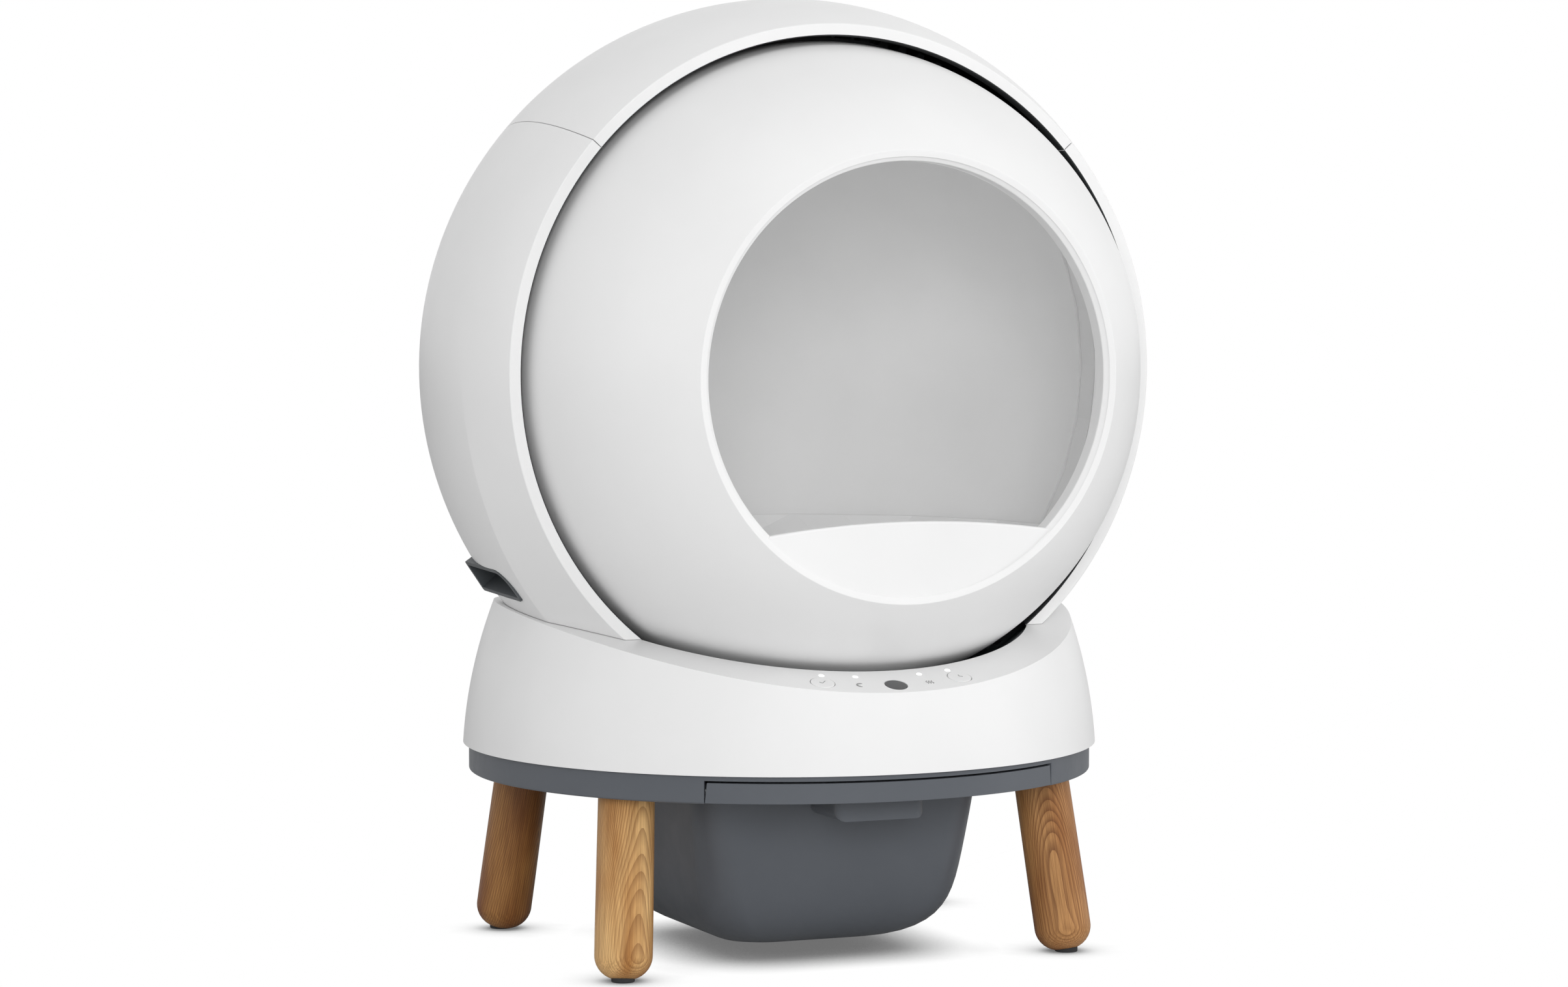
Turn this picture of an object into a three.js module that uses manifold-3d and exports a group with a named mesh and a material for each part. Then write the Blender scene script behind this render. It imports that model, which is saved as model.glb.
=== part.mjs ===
// A self cleaning litter box: an egg-shaped drum that turns inside a round casing, on a base with
// four wooden legs and a waste drawer. Millimetres, +Z up, the entry faces -Y, and the origin is on
// the floor under the middle of the legs. The drum turns about a level axis along Y.
import * as THREE from 'three';
import { mergeVertices } from 'three/addons/utils/BufferGeometryUtils.js';
import Module from 'manifold-3d';

const wasm = await Module();
wasm.setup();

// Whole object
const drumClearHeight = 203;
const entryReach = 259;
const rearReach = 259;
const seatGap = 0.4;
const seamGap = 0.7;
const overrun = 6;
const aroundSteps = 36;
const quarterRows = 5;
const smallSteps = 8;
const cornerSteps = 3;

// Casing: a round shell cut off flat at its front band
const casingClearance = 31;
const casingCentreY = -10;
const casingFrontDepth = 275.5;
const casingWall = 4;
const bandY = -118;
const bandGap = 7.05;
const bandDepth = 12;
const bonnetHalfAngle = 48.5;
const bonnetRearY = 140;
const creaseY = -58;
const creaseEndY = 45;
const creaseLift = 2.6;
const creaseTopAngle = 78;
const creaseFullAngle = 118;

// Handle cups in the casing's sides
const handleRise = 20.8;
const handleFrontY = -47;
const handleLength = 92;
const handleHeight = 26.5;
const handleProud = 1;
const handleBorder = 4.5;
const handleDepth = 18;
const handleWall = 2;
const handleCorner = 6;
const handleNoseCorner = 18;

// Drum
const drumRadius = 255;
const drumCentreY = -71;
const drumRearGap = 58;
const entryRadius = 168.1;
const drumWall = 4;
const rimWidth = 8;
const rimBevel = 5;
const rimTube = 19;
const rimWall = 4.5;
const stepTopHeight = 107;
const stepSideHeight = 114.8;
const stepThickness = 5;
const stepInset = 3;
const jointFrontY = -57;
const jointRearY = -34;
const portHalfWidth = 80;
const portFrontY = -2;
const portRailGap = 22;
const portCorner = 14;
const sealWidth = 8;
const sealHeight = 3;
const railSetback = 157;
const railWidth = 12;
const railHeight = 8;
const linerWall = 2.5;
const linerTop = -128;
const linerFrontSetback = 23;
const linerRearSetback = 91;

// Sifting grille inside the drum, hung from the waste port's left edge
const grilleRadius = 150;
const grilleDrop = 39.1;
const grilleLeft = -120;
const grilleRight = 44;
const grilleWall = 3;
const grilleBar = 4.5;
const grilleSlot = 9.5;
const grilleMargin = 4;

// Ring gear and pinion
const gearFlange = 4;
const gearFlangeFrontY = -67;
const gearFlangeRearY = -25;
const toothFrontY = -44.5;
const toothRearY = -31.5;
const toothDepth = 8.5;
const gearTeeth = 100;
const pinionTeeth = 10;
const meshClearance = 0.4;
const pinionAngle = 30;
const shaftRadius = 4;
const gearRootShare = 0.62;
const gearPitchShare = 0.46;
const gearTipShare = 0.28;
const pinionRootShare = 0.6;
const pinionTipShare = 0.2;
const addendumShare = 0.47;
const rowSpacingShare = 0.4;

// Rollers that carry the drum
const rollerRadius = 13;
const rollerWidth = 12;
const frontRollerAngle = 36;
const rearRollerAngle = 24;
const rollerFrontY = -56;
const axleRadius = 3;
const axleOverhang = 5.5;
const earWall = 3;
const earHalfWidth = 9;
const earReach = 8.5;
const rollerSlack = 1.4;

// Gearbox and motor
const gearboxWidth = 50;
const gearboxHeight = 34;
const gearboxLength = 30;
const gearboxCorner = 4;
const shaftEngagement = 12;
const motorRadius = 16;
const motorLength = 52;
const motorCap = 3;

// Base shell
const skirtBottom = 161.6;
const skirtFootRadius = 251.5;
const skirtBellyInset = 5.3;
const skirtBellyHeight = 217.8;
const skirtTopInset = 21.3;
const skirtWall = 4;
const lipArcRadius = 893;
const lipTopY = 57.5;
const lipRise = 71;
const lipSteps = 12;
const lipGap = 8;
const deckWall = 4;

// Chassis
const chassisBottom = 140;
const chassisInset = 7.1;
const chassisWall = 4;
const chassisTop = 170;
const flangeLift = 1.4;
const floorRecess = 2;
const floorThickness = 4;
const passageHalfWidth = 147;
const passageRearY = 130;
const passageTop = 157.4;

// Cradle
const bowlWall = 4;
const bowlGap = 9;
const bowlFrontY = -196;
const bowlRailReach = 21;
const gearRoom = 4.5;
const chuteMargin = 8;
const chuteWall = 3;
const ribWall = 4;
const ribFrontY = -86;
const ribMiddleY = 75;
const rearRibHalfWidth = 112;
const footRadius = 8;
const footHeight = 20;
const screwInset = 66.4;

// Legs
const legInsetX = 58.2;
const legInsetY = 103.3;
const legSplayX = 12;
const legSplayY = 23.6;
const legTopRadius = 21.4;
const legRadius = 22.2;
const legDome = 20;
const legFlat = 9;
const legRoundShare = 0.6;
const padRadius = 11;
const padThickness = 4;
const legLift = 2.6;
const bossRadius = 12;
const studRadius = 4;
const studInLeg = 28;
const studInBoss = 22;

// Drawer
const drawerHalfAngle = 35.6;
const drawerFrontBottom = 140.6;
const drawerFrontTop = 156;
const drawerFrontWall = 4.4;
const tubSideGap = 26;
const tubFrontY = -131;
const tubRearGap = 10;
const tubBottom = 10.5;
const tubWall = 2.6;
const tubCorner = 34;
const tubWaistInset = 11;
const flangeBottom = 149.6;
const flangeThickness = 3;
const flangeSideGap = 8;
const frameHeight = 2.4;
const frameWidth = 16;
const railPlate = 2.8;
const railWall = 3;
const railReach = 7;
const railFoot = 11;
const gripHalfWidth = 37;
const gripSetback = 41.4;
const gripLength = 51;
const gripBottom = 121;
const gripWall = 4;
const gripCorner = 8;
const gripRearCorner = 1;

// Controls on the lip
const controlInset = 30.5;
const buttonX = 56.3;
const buttonRadius = 9.15;
const buttonGap = 0.4;
const buttonProud = 0.5;
const buttonFlange = 1.4;
const buttonFlangeHeight = 1.2;
const buttonTravel = 1.2;
const sensorInset = 21.8;
const sensorRadius = 8.75;
const sensorDepth = 2.6;
const sensorBore = 6;
const lensRadius = 2.1;
const lensInnerX = 26.3;
const lensInnerInset = 38.3;
const lensOuterX = 52;
const lensOuterInset = 43;
const boardHalfWidth = 68;
const boardDepth = 16;
const boardThickness = 1.6;
const boardPostRadius = 3;
const boardPostX = 38;
const guideHeight = 1.6;
const guideBarFront = 11.5;
const guideBarRear = 14.4;
const guideStemFront = 5;
const guideMargin = 1;

// Power inlet and screws
const inletHeight = 186;
const inletRadius = 7;
const inletFlange = 2.5;
const inletFlangeDepth = 1.6;
const inletDepth = 16;
const inletBore = 3.9;
const inletBoreDepth = 11;
const screwRadius = 2;
const screwHeadRadius = 4;
const screwHeadHeight = 1.6;
const screwLength = 14;

// Worked out from the above
const radians = Math.PI / 180;
const axisHeight = drumClearHeight + drumRadius;
const lipTop = drumClearHeight + lipRise;
const farEnd = Math.max(entryReach, rearReach, skirtFootRadius) + overrun;
const casing = {
  radius: drumRadius + casingClearance + casingWall,
  centre: casingCentreY,
  front: casingFrontDepth,
  rear: rearReach - casingCentreY,
  marks: [bandY, creaseY, creaseEndY],
};
const drum = {
  radius: drumRadius,
  centre: drumCentreY,
  front: (entryReach + drumCentreY) / Math.sqrt(1 - (entryRadius / drumRadius) ** 2),
  rear: rearReach - drumRearGap - drumCentreY,
  marks: [-entryReach],
};
const rimInnerRadius = entryRadius - rimWidth;
const railY = rearReach - railSetback;
const portRearY = railY - portRailGap;
const linerFrontY = linerFrontSetback - entryReach;
const linerRearY = rearReach - linerRearSetback;
const bowlRearY = railY + bowlRailReach;
const grilleSag = eggRadius(drum, portRearY) - grilleDrop;
const handleDip = Math.acos((axisHeight - lipTop - handleRise) / casing.radius);
const handleAngle = 180 - handleDip / radians;
const bandInnerRadius = eggRadius(drum, bandY) + bandGap;
const gearInnerRadius = drum.radius + seatGap;
const gearRootRadius = gearInnerRadius + gearFlange;
const addendum = toothDepth * addendumShare;
const dedendum = toothDepth - addendum;
const gearPitchRadius = gearRootRadius + dedendum;
const gearTipRadius = gearPitchRadius + addendum;
const pinionPitchRadius = (gearPitchRadius * pinionTeeth) / gearTeeth;
const pinionDistance = gearPitchRadius + pinionPitchRadius + meshClearance;
const railMiddleY = railY + railWidth / 2;
const railRadius = eggRadius(drum, railY) + railHeight;
const bowlGearRadius = gearTipRadius + gearRoom;
const frontRollerDistance = gearRootRadius + seatGap + rollerRadius;
const rearRollerDistance = railRadius + seatGap + rollerRadius;
const skirtBellyRadius = skirtFootRadius - skirtBellyInset;
const skirtTopRadius = skirtFootRadius - skirtTopInset;
const chassisRadius = skirtFootRadius - chassisInset;
const tubHalfWidth = passageHalfWidth - tubSideGap;
const tubRearY = passageRearY - tubRearGap;
const flangeHalfWidth = passageHalfWidth - flangeSideGap;
const footX = chassisRadius - screwInset;
const legFootX = chassisRadius - legInsetX;
const legFootY = chassisRadius - legInsetY;
const gripFrontY = gripSetback - chassisRadius;
const gripRearY = gripFrontY + gripLength;
const controlY = controlInset - skirtFootRadius;
const sensorY = sensorInset - skirtFootRadius;
const floorBottom = chassisBottom + floorRecess;
const floorTop = floorBottom + floorThickness;
const gearboxInner = pinionDistance - bowlGearRadius - bowlWall - seatGap;
const chuteBottom = passageTop + seatGap * 3;

// Finishes
const whitePlastic = plastic('#efefee', 0.42);
const greyPlastic = plastic('#b9babb', 0.5);
const darkPlastic = plastic('#54585d', 0.5);
const blackPlastic = plastic('#26292b', 0.4);
const rubber = plastic('#38393b', 0.85);
const lensPlastic = plastic('#fbfbfb', 0.2);
const boardGreen = plastic('#1f5a3a', 0.6);
const oak = plastic('#b07d48', 0.5);
const steel = new THREE.MeshStandardMaterial({ color: '#a9adb0', roughness: 0.35, metalness: 0.9 });

function plastic(color, roughness) {
  return new THREE.MeshStandardMaterial({ color, roughness, metalness: 0 });
}

// Turns a three.js geometry into a solid: corners that coincide are merged and empty faces dropped.
function solidOf(geometry) {
  const bare = new THREE.BufferGeometry();
  bare.setAttribute('position', geometry.getAttribute('position'));
  if (geometry.index) {
    bare.setIndex(geometry.index);
  }
  const merged = mergeVertices(bare);
  const corners = merged.index.array;
  const kept = [];
  for (let i = 0; i < corners.length; i += 3) {
    const [a, b, c] = corners.slice(i, i + 3);
    if (a !== b && b !== c && c !== a) {
      kept.push(a, b, c);
    }
  }
  return new wasm.Manifold(new wasm.Mesh({
    numProp: 3,
    vertProperties: merged.getAttribute('position').array,
    triVerts: new Uint32Array(kept),
  }));
}

function meshOf(name, solid, material) {
  const made = solid.getMesh();
  const geometry = new THREE.BufferGeometry();
  geometry.setAttribute('position', new THREE.BufferAttribute(made.vertProperties, 3));
  geometry.setIndex(new THREE.BufferAttribute(made.triVerts, 1));
  geometry.computeVertexNormals();
  const mesh = new THREE.Mesh(geometry, material);
  mesh.name = name;
  return mesh;
}

function joined(solids) {
  return solids.reduce((whole, piece) => whole.add(piece));
}

function moved(solid, x, y, z) {
  return solid.translate([x, y, z]);
}

// Turned about Y, seen from the front: 0 stays, 90 brings the top to the right.
function turnedAboutY(solid, angle) {
  return solid.rotate([0, angle, 0]);
}

// Revolves (radius, y) points about the Y axis, whichever way round they run. An outline that
// doesn't start on the axis is a ring's and is closed.
function latheAboutY(points, steps = aroundSteps) {
  const area = THREE.ShapeUtils.area(points);
  const ordered = area < 0 ? [...points].reverse() : [...points];
  if (ordered[0].x > 0) {
    ordered.push(ordered[0].clone());
  }
  return new THREE.LatheGeometry(ordered, steps);
}

function revolvedAboutY(points, steps) {
  return solidOf(latheAboutY(points, steps));
}

// Revolves (radius, height) points about the Z axis.
function revolvedAboutZ(points, steps = aroundSteps) {
  return solidOf(latheAboutY(points, steps).rotateX(Math.PI / 2));
}

function point(x, y) {
  return new THREE.Vector2(x, y);
}

function discOutline(radius, from, to) {
  return [point(0, from), point(radius, from), point(radius, to), point(0, to)];
}

function cylinderAlongZ(radius, bottom, top, steps = smallSteps) {
  return revolvedAboutZ(discOutline(radius, bottom, top), steps);
}

function cylinderAlongY(radius, from, to, steps = smallSteps) {
  return revolvedAboutY(discOutline(radius, from, to), steps);
}

// A hole's plug along Y, as long as the stretch and an overrun at both ends.
function plugAlongY(radius, from, to, steps) {
  return cylinderAlongY(radius, from - overrun, to + overrun, steps);
}

function block(x0, x1, y0, y1, z0, z1) {
  const geometry = new THREE.BoxGeometry(x1 - x0, y1 - y0, z1 - z0);
  geometry.translate((x0 + x1) / 2, (y0 + y1) / 2, (z0 + z1) / 2);
  return solidOf(geometry);
}

// An outline in X and Y carried up from bottom to top.
function risen(shape, bottom, top, curveSteps = 5) {
  const settings = { depth: top - bottom, bevelEnabled: false, steps: 1, curveSegments: curveSteps };
  return solidOf(new THREE.ExtrudeGeometry(shape, settings).translate(0, 0, bottom));
}

// An outline in X and Z carried along Y.
function drawnAlongY(shape, from, to, curveSteps) {
  return moved(risen(shape, 0, to - from, curveSteps).rotate([90, 0, 0]), 0, to, 0);
}

// An outline in Y and Z carried along X, as wide on either side.
function drawnAlongX(shape, halfWidth, curveSteps) {
  return risen(shape, -halfWidth, halfWidth, curveSteps).rotate([90, 0, 90]);
}

// A rectangle with rounded corners, listed from the lower left round to the upper left.
function roundedRectangle(x0, x1, y0, y1, corners) {
  const [lowerLeft, lowerRight, upperRight, upperLeft] = corners;
  const shape = new THREE.Shape();
  shape.moveTo(x0 + lowerLeft, y0);
  shape.lineTo(x1 - lowerRight, y0);
  shape.absarc(x1 - lowerRight, y0 + lowerRight, lowerRight, -Math.PI / 2, 0);
  shape.lineTo(x1, y1 - upperRight);
  shape.absarc(x1 - upperRight, y1 - upperRight, upperRight, 0, Math.PI / 2);
  shape.lineTo(x0 + upperLeft, y1);
  shape.absarc(x0 + upperLeft, y1 - upperLeft, upperLeft, Math.PI / 2, Math.PI);
  shape.lineTo(x0, y0 + lowerLeft);
  shape.absarc(x0 + lowerLeft, y0 + lowerLeft, lowerLeft, Math.PI, Math.PI * 1.5);
  return shape;
}

function evenCorners(radius) {
  return [radius, radius, radius, radius];
}

// Egg forms: one equator radius, and a depth of its own to the front and to the rear
function eggRadius(egg, y) {
  const depth = y < egg.centre ? egg.front : egg.rear;
  const share = (y - egg.centre) / depth;
  return egg.radius * Math.sqrt(Math.max(0, 1 - share * share));
}

// The egg's skin from its front end to its rear end, moved out square to itself by an offset. Rows
// lie at equal turns, and one at each marked place.
function eggPoints(egg, offset) {
  const turnAt = (y) => Math.acos((egg.centre - y) / (y < egg.centre ? egg.front : egg.rear));
  const marks = egg.marks.map(turnAt);
  const step = Math.PI / (2 * quarterRows);
  const turns = Array.from({ length: 2 * quarterRows - 1 }, (_, i) => (i + 1) * step);
  const nearest = step * rowSpacingShare;
  const free = turns.filter((turn) => marks.every((mark) => Math.abs(turn - mark) > nearest));
  const skin = [...marks, ...free].sort((a, b) => a - b).map((turn) => {
    const depth = turn < Math.PI / 2 ? egg.front : egg.rear;
    const outwards = point(Math.sin(turn) / egg.radius, -Math.cos(turn) / depth).normalize();
    const onSkin = point(egg.radius * Math.sin(turn), egg.centre - depth * Math.cos(turn));
    return onSkin.addScaledVector(outwards, offset);
  });
  const start = point(0, egg.centre - egg.front - offset);
  const end = point(0, egg.centre + egg.rear + offset);
  return [start, ...skin, end];
}

function slab(from, to) {
  const far = casing.radius * 2;
  return block(-far, far, from, to, -far, far);
}

function eggBody(egg, offset, from, to) {
  return revolvedAboutY(eggPoints(egg, offset)).intersect(slab(from, to));
}

// A wedge about the Y axis, from straight up to the same angle on either side, grown by a gap.
function wedgeAboutY(halfAngle, from, to, gap) {
  const reach = casing.radius * 2;
  const apex = -gap / Math.sin(halfAngle * radians);
  const side = reach * Math.sin(halfAngle * radians);
  const rise = reach * Math.cos(halfAngle * radians);
  const shape = new THREE.Shape([point(0, apex), point(side, rise + apex), point(-side, rise + apex)]);
  return drawnAlongY(shape, from, to);
}

// Everything under the lip's arc, raised by an offset. The arc runs front to back, level across.
function underLip(offset) {
  const reach = farEnd;
  const radius = lipArcRadius + offset;
  const centre = lipTop - lipArcRadius;
  const arc = [];
  for (let i = 0; i <= lipSteps; i += 1) {
    const y = -reach + (2 * reach * i) / lipSteps;
    arc.push(point(y, centre + Math.sqrt(radius * radius - (y - lipTopY) * (y - lipTopY))));
  }
  const shape = new THREE.Shape([point(-reach, 0), point(reach, 0), ...arc.reverse()]);
  return drawnAlongX(shape, casing.radius);
}

function lipHeight(y) {
  return lipTop - lipArcRadius + Math.sqrt(lipArcRadius * lipArcRadius - (y - lipTopY) * (y - lipTopY));
}

// How far the lip leans forward at a place, in radians: down towards the front.
function lipSlope(y) {
  return Math.asin((lipTopY - y) / lipArcRadius);
}

function inFloorFrame(solid) {
  return moved(solid, 0, 0, axisHeight);
}

function inAxisFrame(solid) {
  return moved(solid, 0, 0, -axisHeight);
}

// Casing: the shell is pressed with a crease low on each side, in front of the handle
function casingSkin() {
  const geometry = latheAboutY(eggPoints(casing, 0));
  const places = geometry.getAttribute('position');
  const bandRadius = eggRadius(casing, bandY);
  const creaseRadius = eggRadius(casing, creaseY) + creaseLift;
  for (let i = 0; i < places.count; i += 1) {
    const [x, y, z] = [places.getX(i), places.getY(i), places.getZ(i)];
    const radius = Math.hypot(x, z);
    const fromTop = Math.atan2(Math.abs(x), z) / radians;
    const fade = THREE.MathUtils.smoothstep(fromTop, creaseTopAngle, creaseFullAngle);
    let pressed = radius;
    if (radius > seatGap && y > bandY - seatGap && y <= creaseY + seatGap) {
      pressed = THREE.MathUtils.mapLinear(y, bandY, creaseY, bandRadius, creaseRadius);
    } else if (radius > seatGap && y > creaseY && y < creaseEndY) {
      pressed = radius + THREE.MathUtils.mapLinear(y, creaseY, creaseEndY, creaseLift, 0);
    }
    const scale = radius > seatGap ? THREE.MathUtils.lerp(radius, pressed, fade) / radius : 1;
    places.setXYZ(i, x * scale, y, z * scale);
  }
  return solidOf(geometry).intersect(slab(bandY, farEnd));
}

function casingVoid() {
  const behind = eggBody(casing, -casingWall, bandY + bandDepth, farEnd);
  return behind.add(plugAlongY(bandInnerRadius, bandY, bandY + bandDepth, aroundSteps));
}

// The handle's outline lies across the casing: X runs up the side, Y from front to back.
function handleOutline(shrink, side) {
  const halfHeight = handleHeight / 2 - shrink;
  const front = handleFrontY + shrink;
  const rear = handleFrontY + handleLength - shrink;
  const corner = handleCorner - shrink;
  const nose = handleNoseCorner - shrink;
  const corners = side < 0 ? [corner, nose, corner, corner] : [nose, corner, corner, corner];
  return roundedRectangle(-halfHeight, halfHeight, front, rear, corners);
}

function handlePlug(shrink, from, to, side) {
  return risen(handleOutline(shrink, side), from, to, cornerSteps);
}

function handleCup(side) {
  const face = casing.radius + handleProud;
  const floor = face - handleDepth;
  const body = handlePlug(0, floor - handleWall, face, side);
  const hollow = handlePlug(handleBorder, floor, face + overrun, side);
  return body.subtract(hollow);
}

const casingShell = casingSkin().subtract(casingVoid());

function sideShell(side) {
  const far = casing.radius + overrun;
  const half = block(seamGap / 2, far, -far, far, -far, far).rotate([0, side < 0 ? 180 : 0, 0]);
  const plug = handlePlug(-seatGap, casing.radius / 2, casing.radius * 1.2, side);
  const opening = turnedAboutY(plug, side * handleAngle);
  return casingShell
    .subtract(wedgeAboutY(bonnetHalfAngle, bandY - overrun, bonnetRearY + seamGap / 2, seamGap / 2))
    .subtract(inAxisFrame(underLip(seatGap)))
    .intersect(half)
    .subtract(opening);
}

function bonnetShell() {
  const zone = wedgeAboutY(bonnetHalfAngle, bandY - overrun, bonnetRearY - seamGap / 2, -seamGap / 2);
  return casingShell.intersect(zone);
}

// Drum
function drumFront() {
  const outer = eggBody(drum, 0, -entryReach, jointFrontY - seatGap);
  const inner = eggBody(drum, -drumWall, -entryReach - overrun, jointFrontY + overrun);
  const entry = plugAlongY(entryRadius + seatGap, -entryReach, -entryReach + rimTube, aroundSteps);
  return outer.subtract(inner).subtract(entry);
}

// The entry rim is a bevelled ring whose lower part is filled by the step plate.
function entryRim() {
  const front = -entryReach;
  const ring = revolvedAboutY([
    point(entryRadius, front),
    point(rimInnerRadius, front + rimBevel),
    point(rimInnerRadius, front + rimTube),
    point(rimInnerRadius + rimWall, front + rimTube),
    point(rimInnerRadius + rimWall, front + rimBevel * 2),
    point(entryRadius, front + rimBevel * 2),
  ]);
  const halfChord = Math.sqrt(rimInnerRadius * rimInnerRadius - stepSideHeight * stepSideHeight);
  const rise = stepSideHeight - stepTopHeight;
  const archRadius = (halfChord * halfChord + rise * rise) / (2 * rise);
  const spread = Math.asin(halfChord / archRadius);
  const edgeAngle = Math.atan2(-stepSideHeight, halfChord);
  const plate = new THREE.Shape();
  plate.absarc(0, 0, rimInnerRadius + rimWall / 2, Math.PI - edgeAngle, edgeAngle + Math.PI * 2, false);
  const archTurn = Math.PI / 2;
  plate.absarc(0, -stepTopHeight - archRadius, archRadius, archTurn - spread, archTurn + spread, false);
  const plateFront = front + stepInset;
  return ring.add(drawnAlongY(plate, plateFront, plateFront + stepThickness, aroundSteps / 6));
}

function portPlug(shrink, bottom, top) {
  const shape = roundedRectangle(
    -portHalfWidth + shrink,
    portHalfWidth - shrink,
    portFrontY + shrink,
    portRearY - shrink,
    evenCorners(portCorner - shrink / 2),
  );
  return risen(shape, bottom, top, cornerSteps);
}

function drumRear() {
  const outer = eggBody(drum, 0, jointRearY + seatGap, farEnd);
  const rail = cylinderAlongY(railRadius, railY, railY + railWidth, aroundSteps);
  const inner = eggBody(drum, -drumWall, jointRearY - overrun, farEnd);
  return outer.add(rail).subtract(inner).subtract(portPlug(0, 0, drum.radius * 1.2));
}

// Teeth with straight flanks; each is stated by its radii and by its shares of the pitch.
function gearOutline(teeth, flank, phase) {
  const step = (Math.PI * 2) / teeth;
  const sides = [...flank.map(([radius, share]) => [radius, -share]), ...[...flank].reverse()];
  const points = [];
  for (let tooth = 0; tooth < teeth; tooth += 1) {
    for (const [radius, share] of sides) {
      const turn = phase + (tooth + share / 2) * step;
      points.push(point(radius * Math.sin(turn), radius * Math.cos(turn)));
    }
  }
  return new THREE.Shape(points);
}

// A tooth of the ring gear points straight at the pinion, which has a gap there.
function ringGear() {
  const toothAt = Math.PI + pinionAngle * radians;
  const flank = [
    [gearRootRadius, gearRootShare],
    [gearTipRadius, gearTipShare],
  ];
  const outline = gearOutline(gearTeeth, flank, toothAt);
  const teeth = drawnAlongY(outline, toothFrontY, toothRearY);
  const flange = cylinderAlongY(gearRootRadius, gearFlangeFrontY, gearFlangeRearY, aroundSteps);
  const bore = plugAlongY(drum.radius - drumWall, gearFlangeFrontY, gearFlangeRearY, aroundSteps);
  const front = cylinderAlongY(gearInnerRadius, gearFlangeFrontY - overrun, jointFrontY, aroundSteps);
  const rear = cylinderAlongY(gearInnerRadius, jointRearY, gearFlangeRearY + overrun, aroundSteps);
  return teeth.add(flange).subtract(bore).subtract(front).subtract(rear);
}

function litterLiner() {
  const outset = -drumWall - seatGap;
  const outer = eggBody(drum, outset, linerFrontY, linerRearY);
  const inner = eggBody(drum, outset - linerWall, linerFrontY - overrun, linerRearY + overrun);
  const below = block(-drum.radius, drum.radius, -farEnd, farEnd, -drum.radius, linerTop);
  return outer.subtract(inner).intersect(below);
}

// The grille hangs in an arc under the waste port, between two cheeks that follow the drum's wall.
function siftingGrille() {
  const front = portFrontY - grilleMargin;
  const rear = portRearY + grilleMargin;
  const toPlace = [(grilleLeft + grilleRight) / 2, 0, grilleSag + grilleRadius];
  const drumOf = (from, to) => cylinderAlongY(grilleRadius, from, to, aroundSteps).translate(toPlace);
  const hollow = plugAlongY(grilleRadius - grilleWall, front, rear, aroundSteps).translate(toPlace);
  const zone = block(grilleLeft, grilleRight, front, rear, 0, drum.radius);
  const sheet = drumOf(front, rear).subtract(hollow);
  const pitch = grilleBar + grilleSlot;
  const count = Math.floor((rear - front - 2 * grilleMargin) / pitch);
  const start = (front + rear - (count * pitch - grilleBar)) / 2;
  const slotLeft = -portHalfWidth + grilleMargin;
  const slotRight = grilleRight - grilleMargin * 2;
  const slots = [];
  for (let i = 0; i < count; i += 1) {
    const y = start + i * pitch;
    slots.push(block(slotLeft, slotRight, y, y + grilleSlot, 0, drum.radius));
  }
  const cheeks = drumOf(front, front + grilleWall).add(drumOf(rear - grilleWall, rear));
  const inside = eggBody(drum, -drumWall - seatGap, jointRearY + seatGap, farEnd);
  return sheet.subtract(joined(slots)).add(cheeks).intersect(zone).intersect(inside);
}

function portSeal() {
  const outer = eggBody(drum, sealHeight, -farEnd, farEnd);
  const inner = eggBody(drum, seatGap, -farEnd, farEnd);
  const above = drum.radius + overrun;
  const ring = portPlug(-sealWidth, 0, above).subtract(portPlug(0, -overrun, above + overrun));
  return outer.subtract(inner).intersect(ring);
}

// Rollers and pinion stand at an angle from straight down, a distance from the drum's axis
function below(angle, distance, y) {
  return [distance * Math.sin(angle * radians), y, axisHeight - distance * Math.cos(angle * radians)];
}

const rollerPlaces = [
  { name: 'front_left', angle: -frontRollerAngle, distance: frontRollerDistance, y: rollerFrontY },
  { name: 'front_right', angle: frontRollerAngle, distance: frontRollerDistance, y: rollerFrontY },
  { name: 'rear_left', angle: -rearRollerAngle, distance: rearRollerDistance, y: railMiddleY },
  { name: 'rear_right', angle: rearRollerAngle, distance: rearRollerDistance, y: railMiddleY },
];

function drumRoller() {
  const half = rollerWidth / 2;
  return revolvedAboutY([
    point(axleRadius + seatGap, -half),
    point(rollerRadius, -half),
    point(rollerRadius, half),
    point(axleRadius + seatGap, half),
  ], smallSteps * 2);
}

function rollerAxle() {
  const half = rollerWidth / 2 + axleOverhang;
  return cylinderAlongY(axleRadius, -half, half);
}

function drivePinion() {
  const flank = [
    [pinionPitchRadius - dedendum, pinionRootShare],
    [pinionPitchRadius, gearPitchShare],
    [pinionPitchRadius + addendum, pinionTipShare],
  ];
  const outline = gearOutline(pinionTeeth, flank, Math.PI / pinionTeeth);
  const teeth = drawnAlongY(outline, toothFrontY, toothRearY);
  const shaftEnd = gearFlangeRearY + shaftEngagement;
  return teeth.add(cylinderAlongY(shaftRadius, toothFrontY - shaftRadius, shaftEnd, smallSteps));
}

// In the pinion's own frame the drum's axis lies straight above.
function gearbox() {
  const front = gearFlangeRearY;
  const outline = roundedRectangle(
    -gearboxWidth / 2,
    gearboxWidth / 2,
    gearboxInner - gearboxHeight,
    gearboxInner,
    evenCorners(gearboxCorner),
  );
  const body = drawnAlongY(outline, front, front + gearboxLength, cornerSteps);
  return body.subtract(cylinderAlongY(shaftRadius + seatGap, front - overrun, front + shaftEngagement));
}

function motor() {
  const front = gearFlangeRearY + gearboxLength + seatGap;
  const can = cylinderAlongY(motorRadius, front, front + motorLength, smallSteps * 2);
  const cap = cylinderAlongY(motorRadius / 2, front + motorLength / 2, front + motorLength + motorCap);
  return moved(can.add(cap), 0, 0, gearboxInner - gearboxHeight / 2);
}

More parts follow.
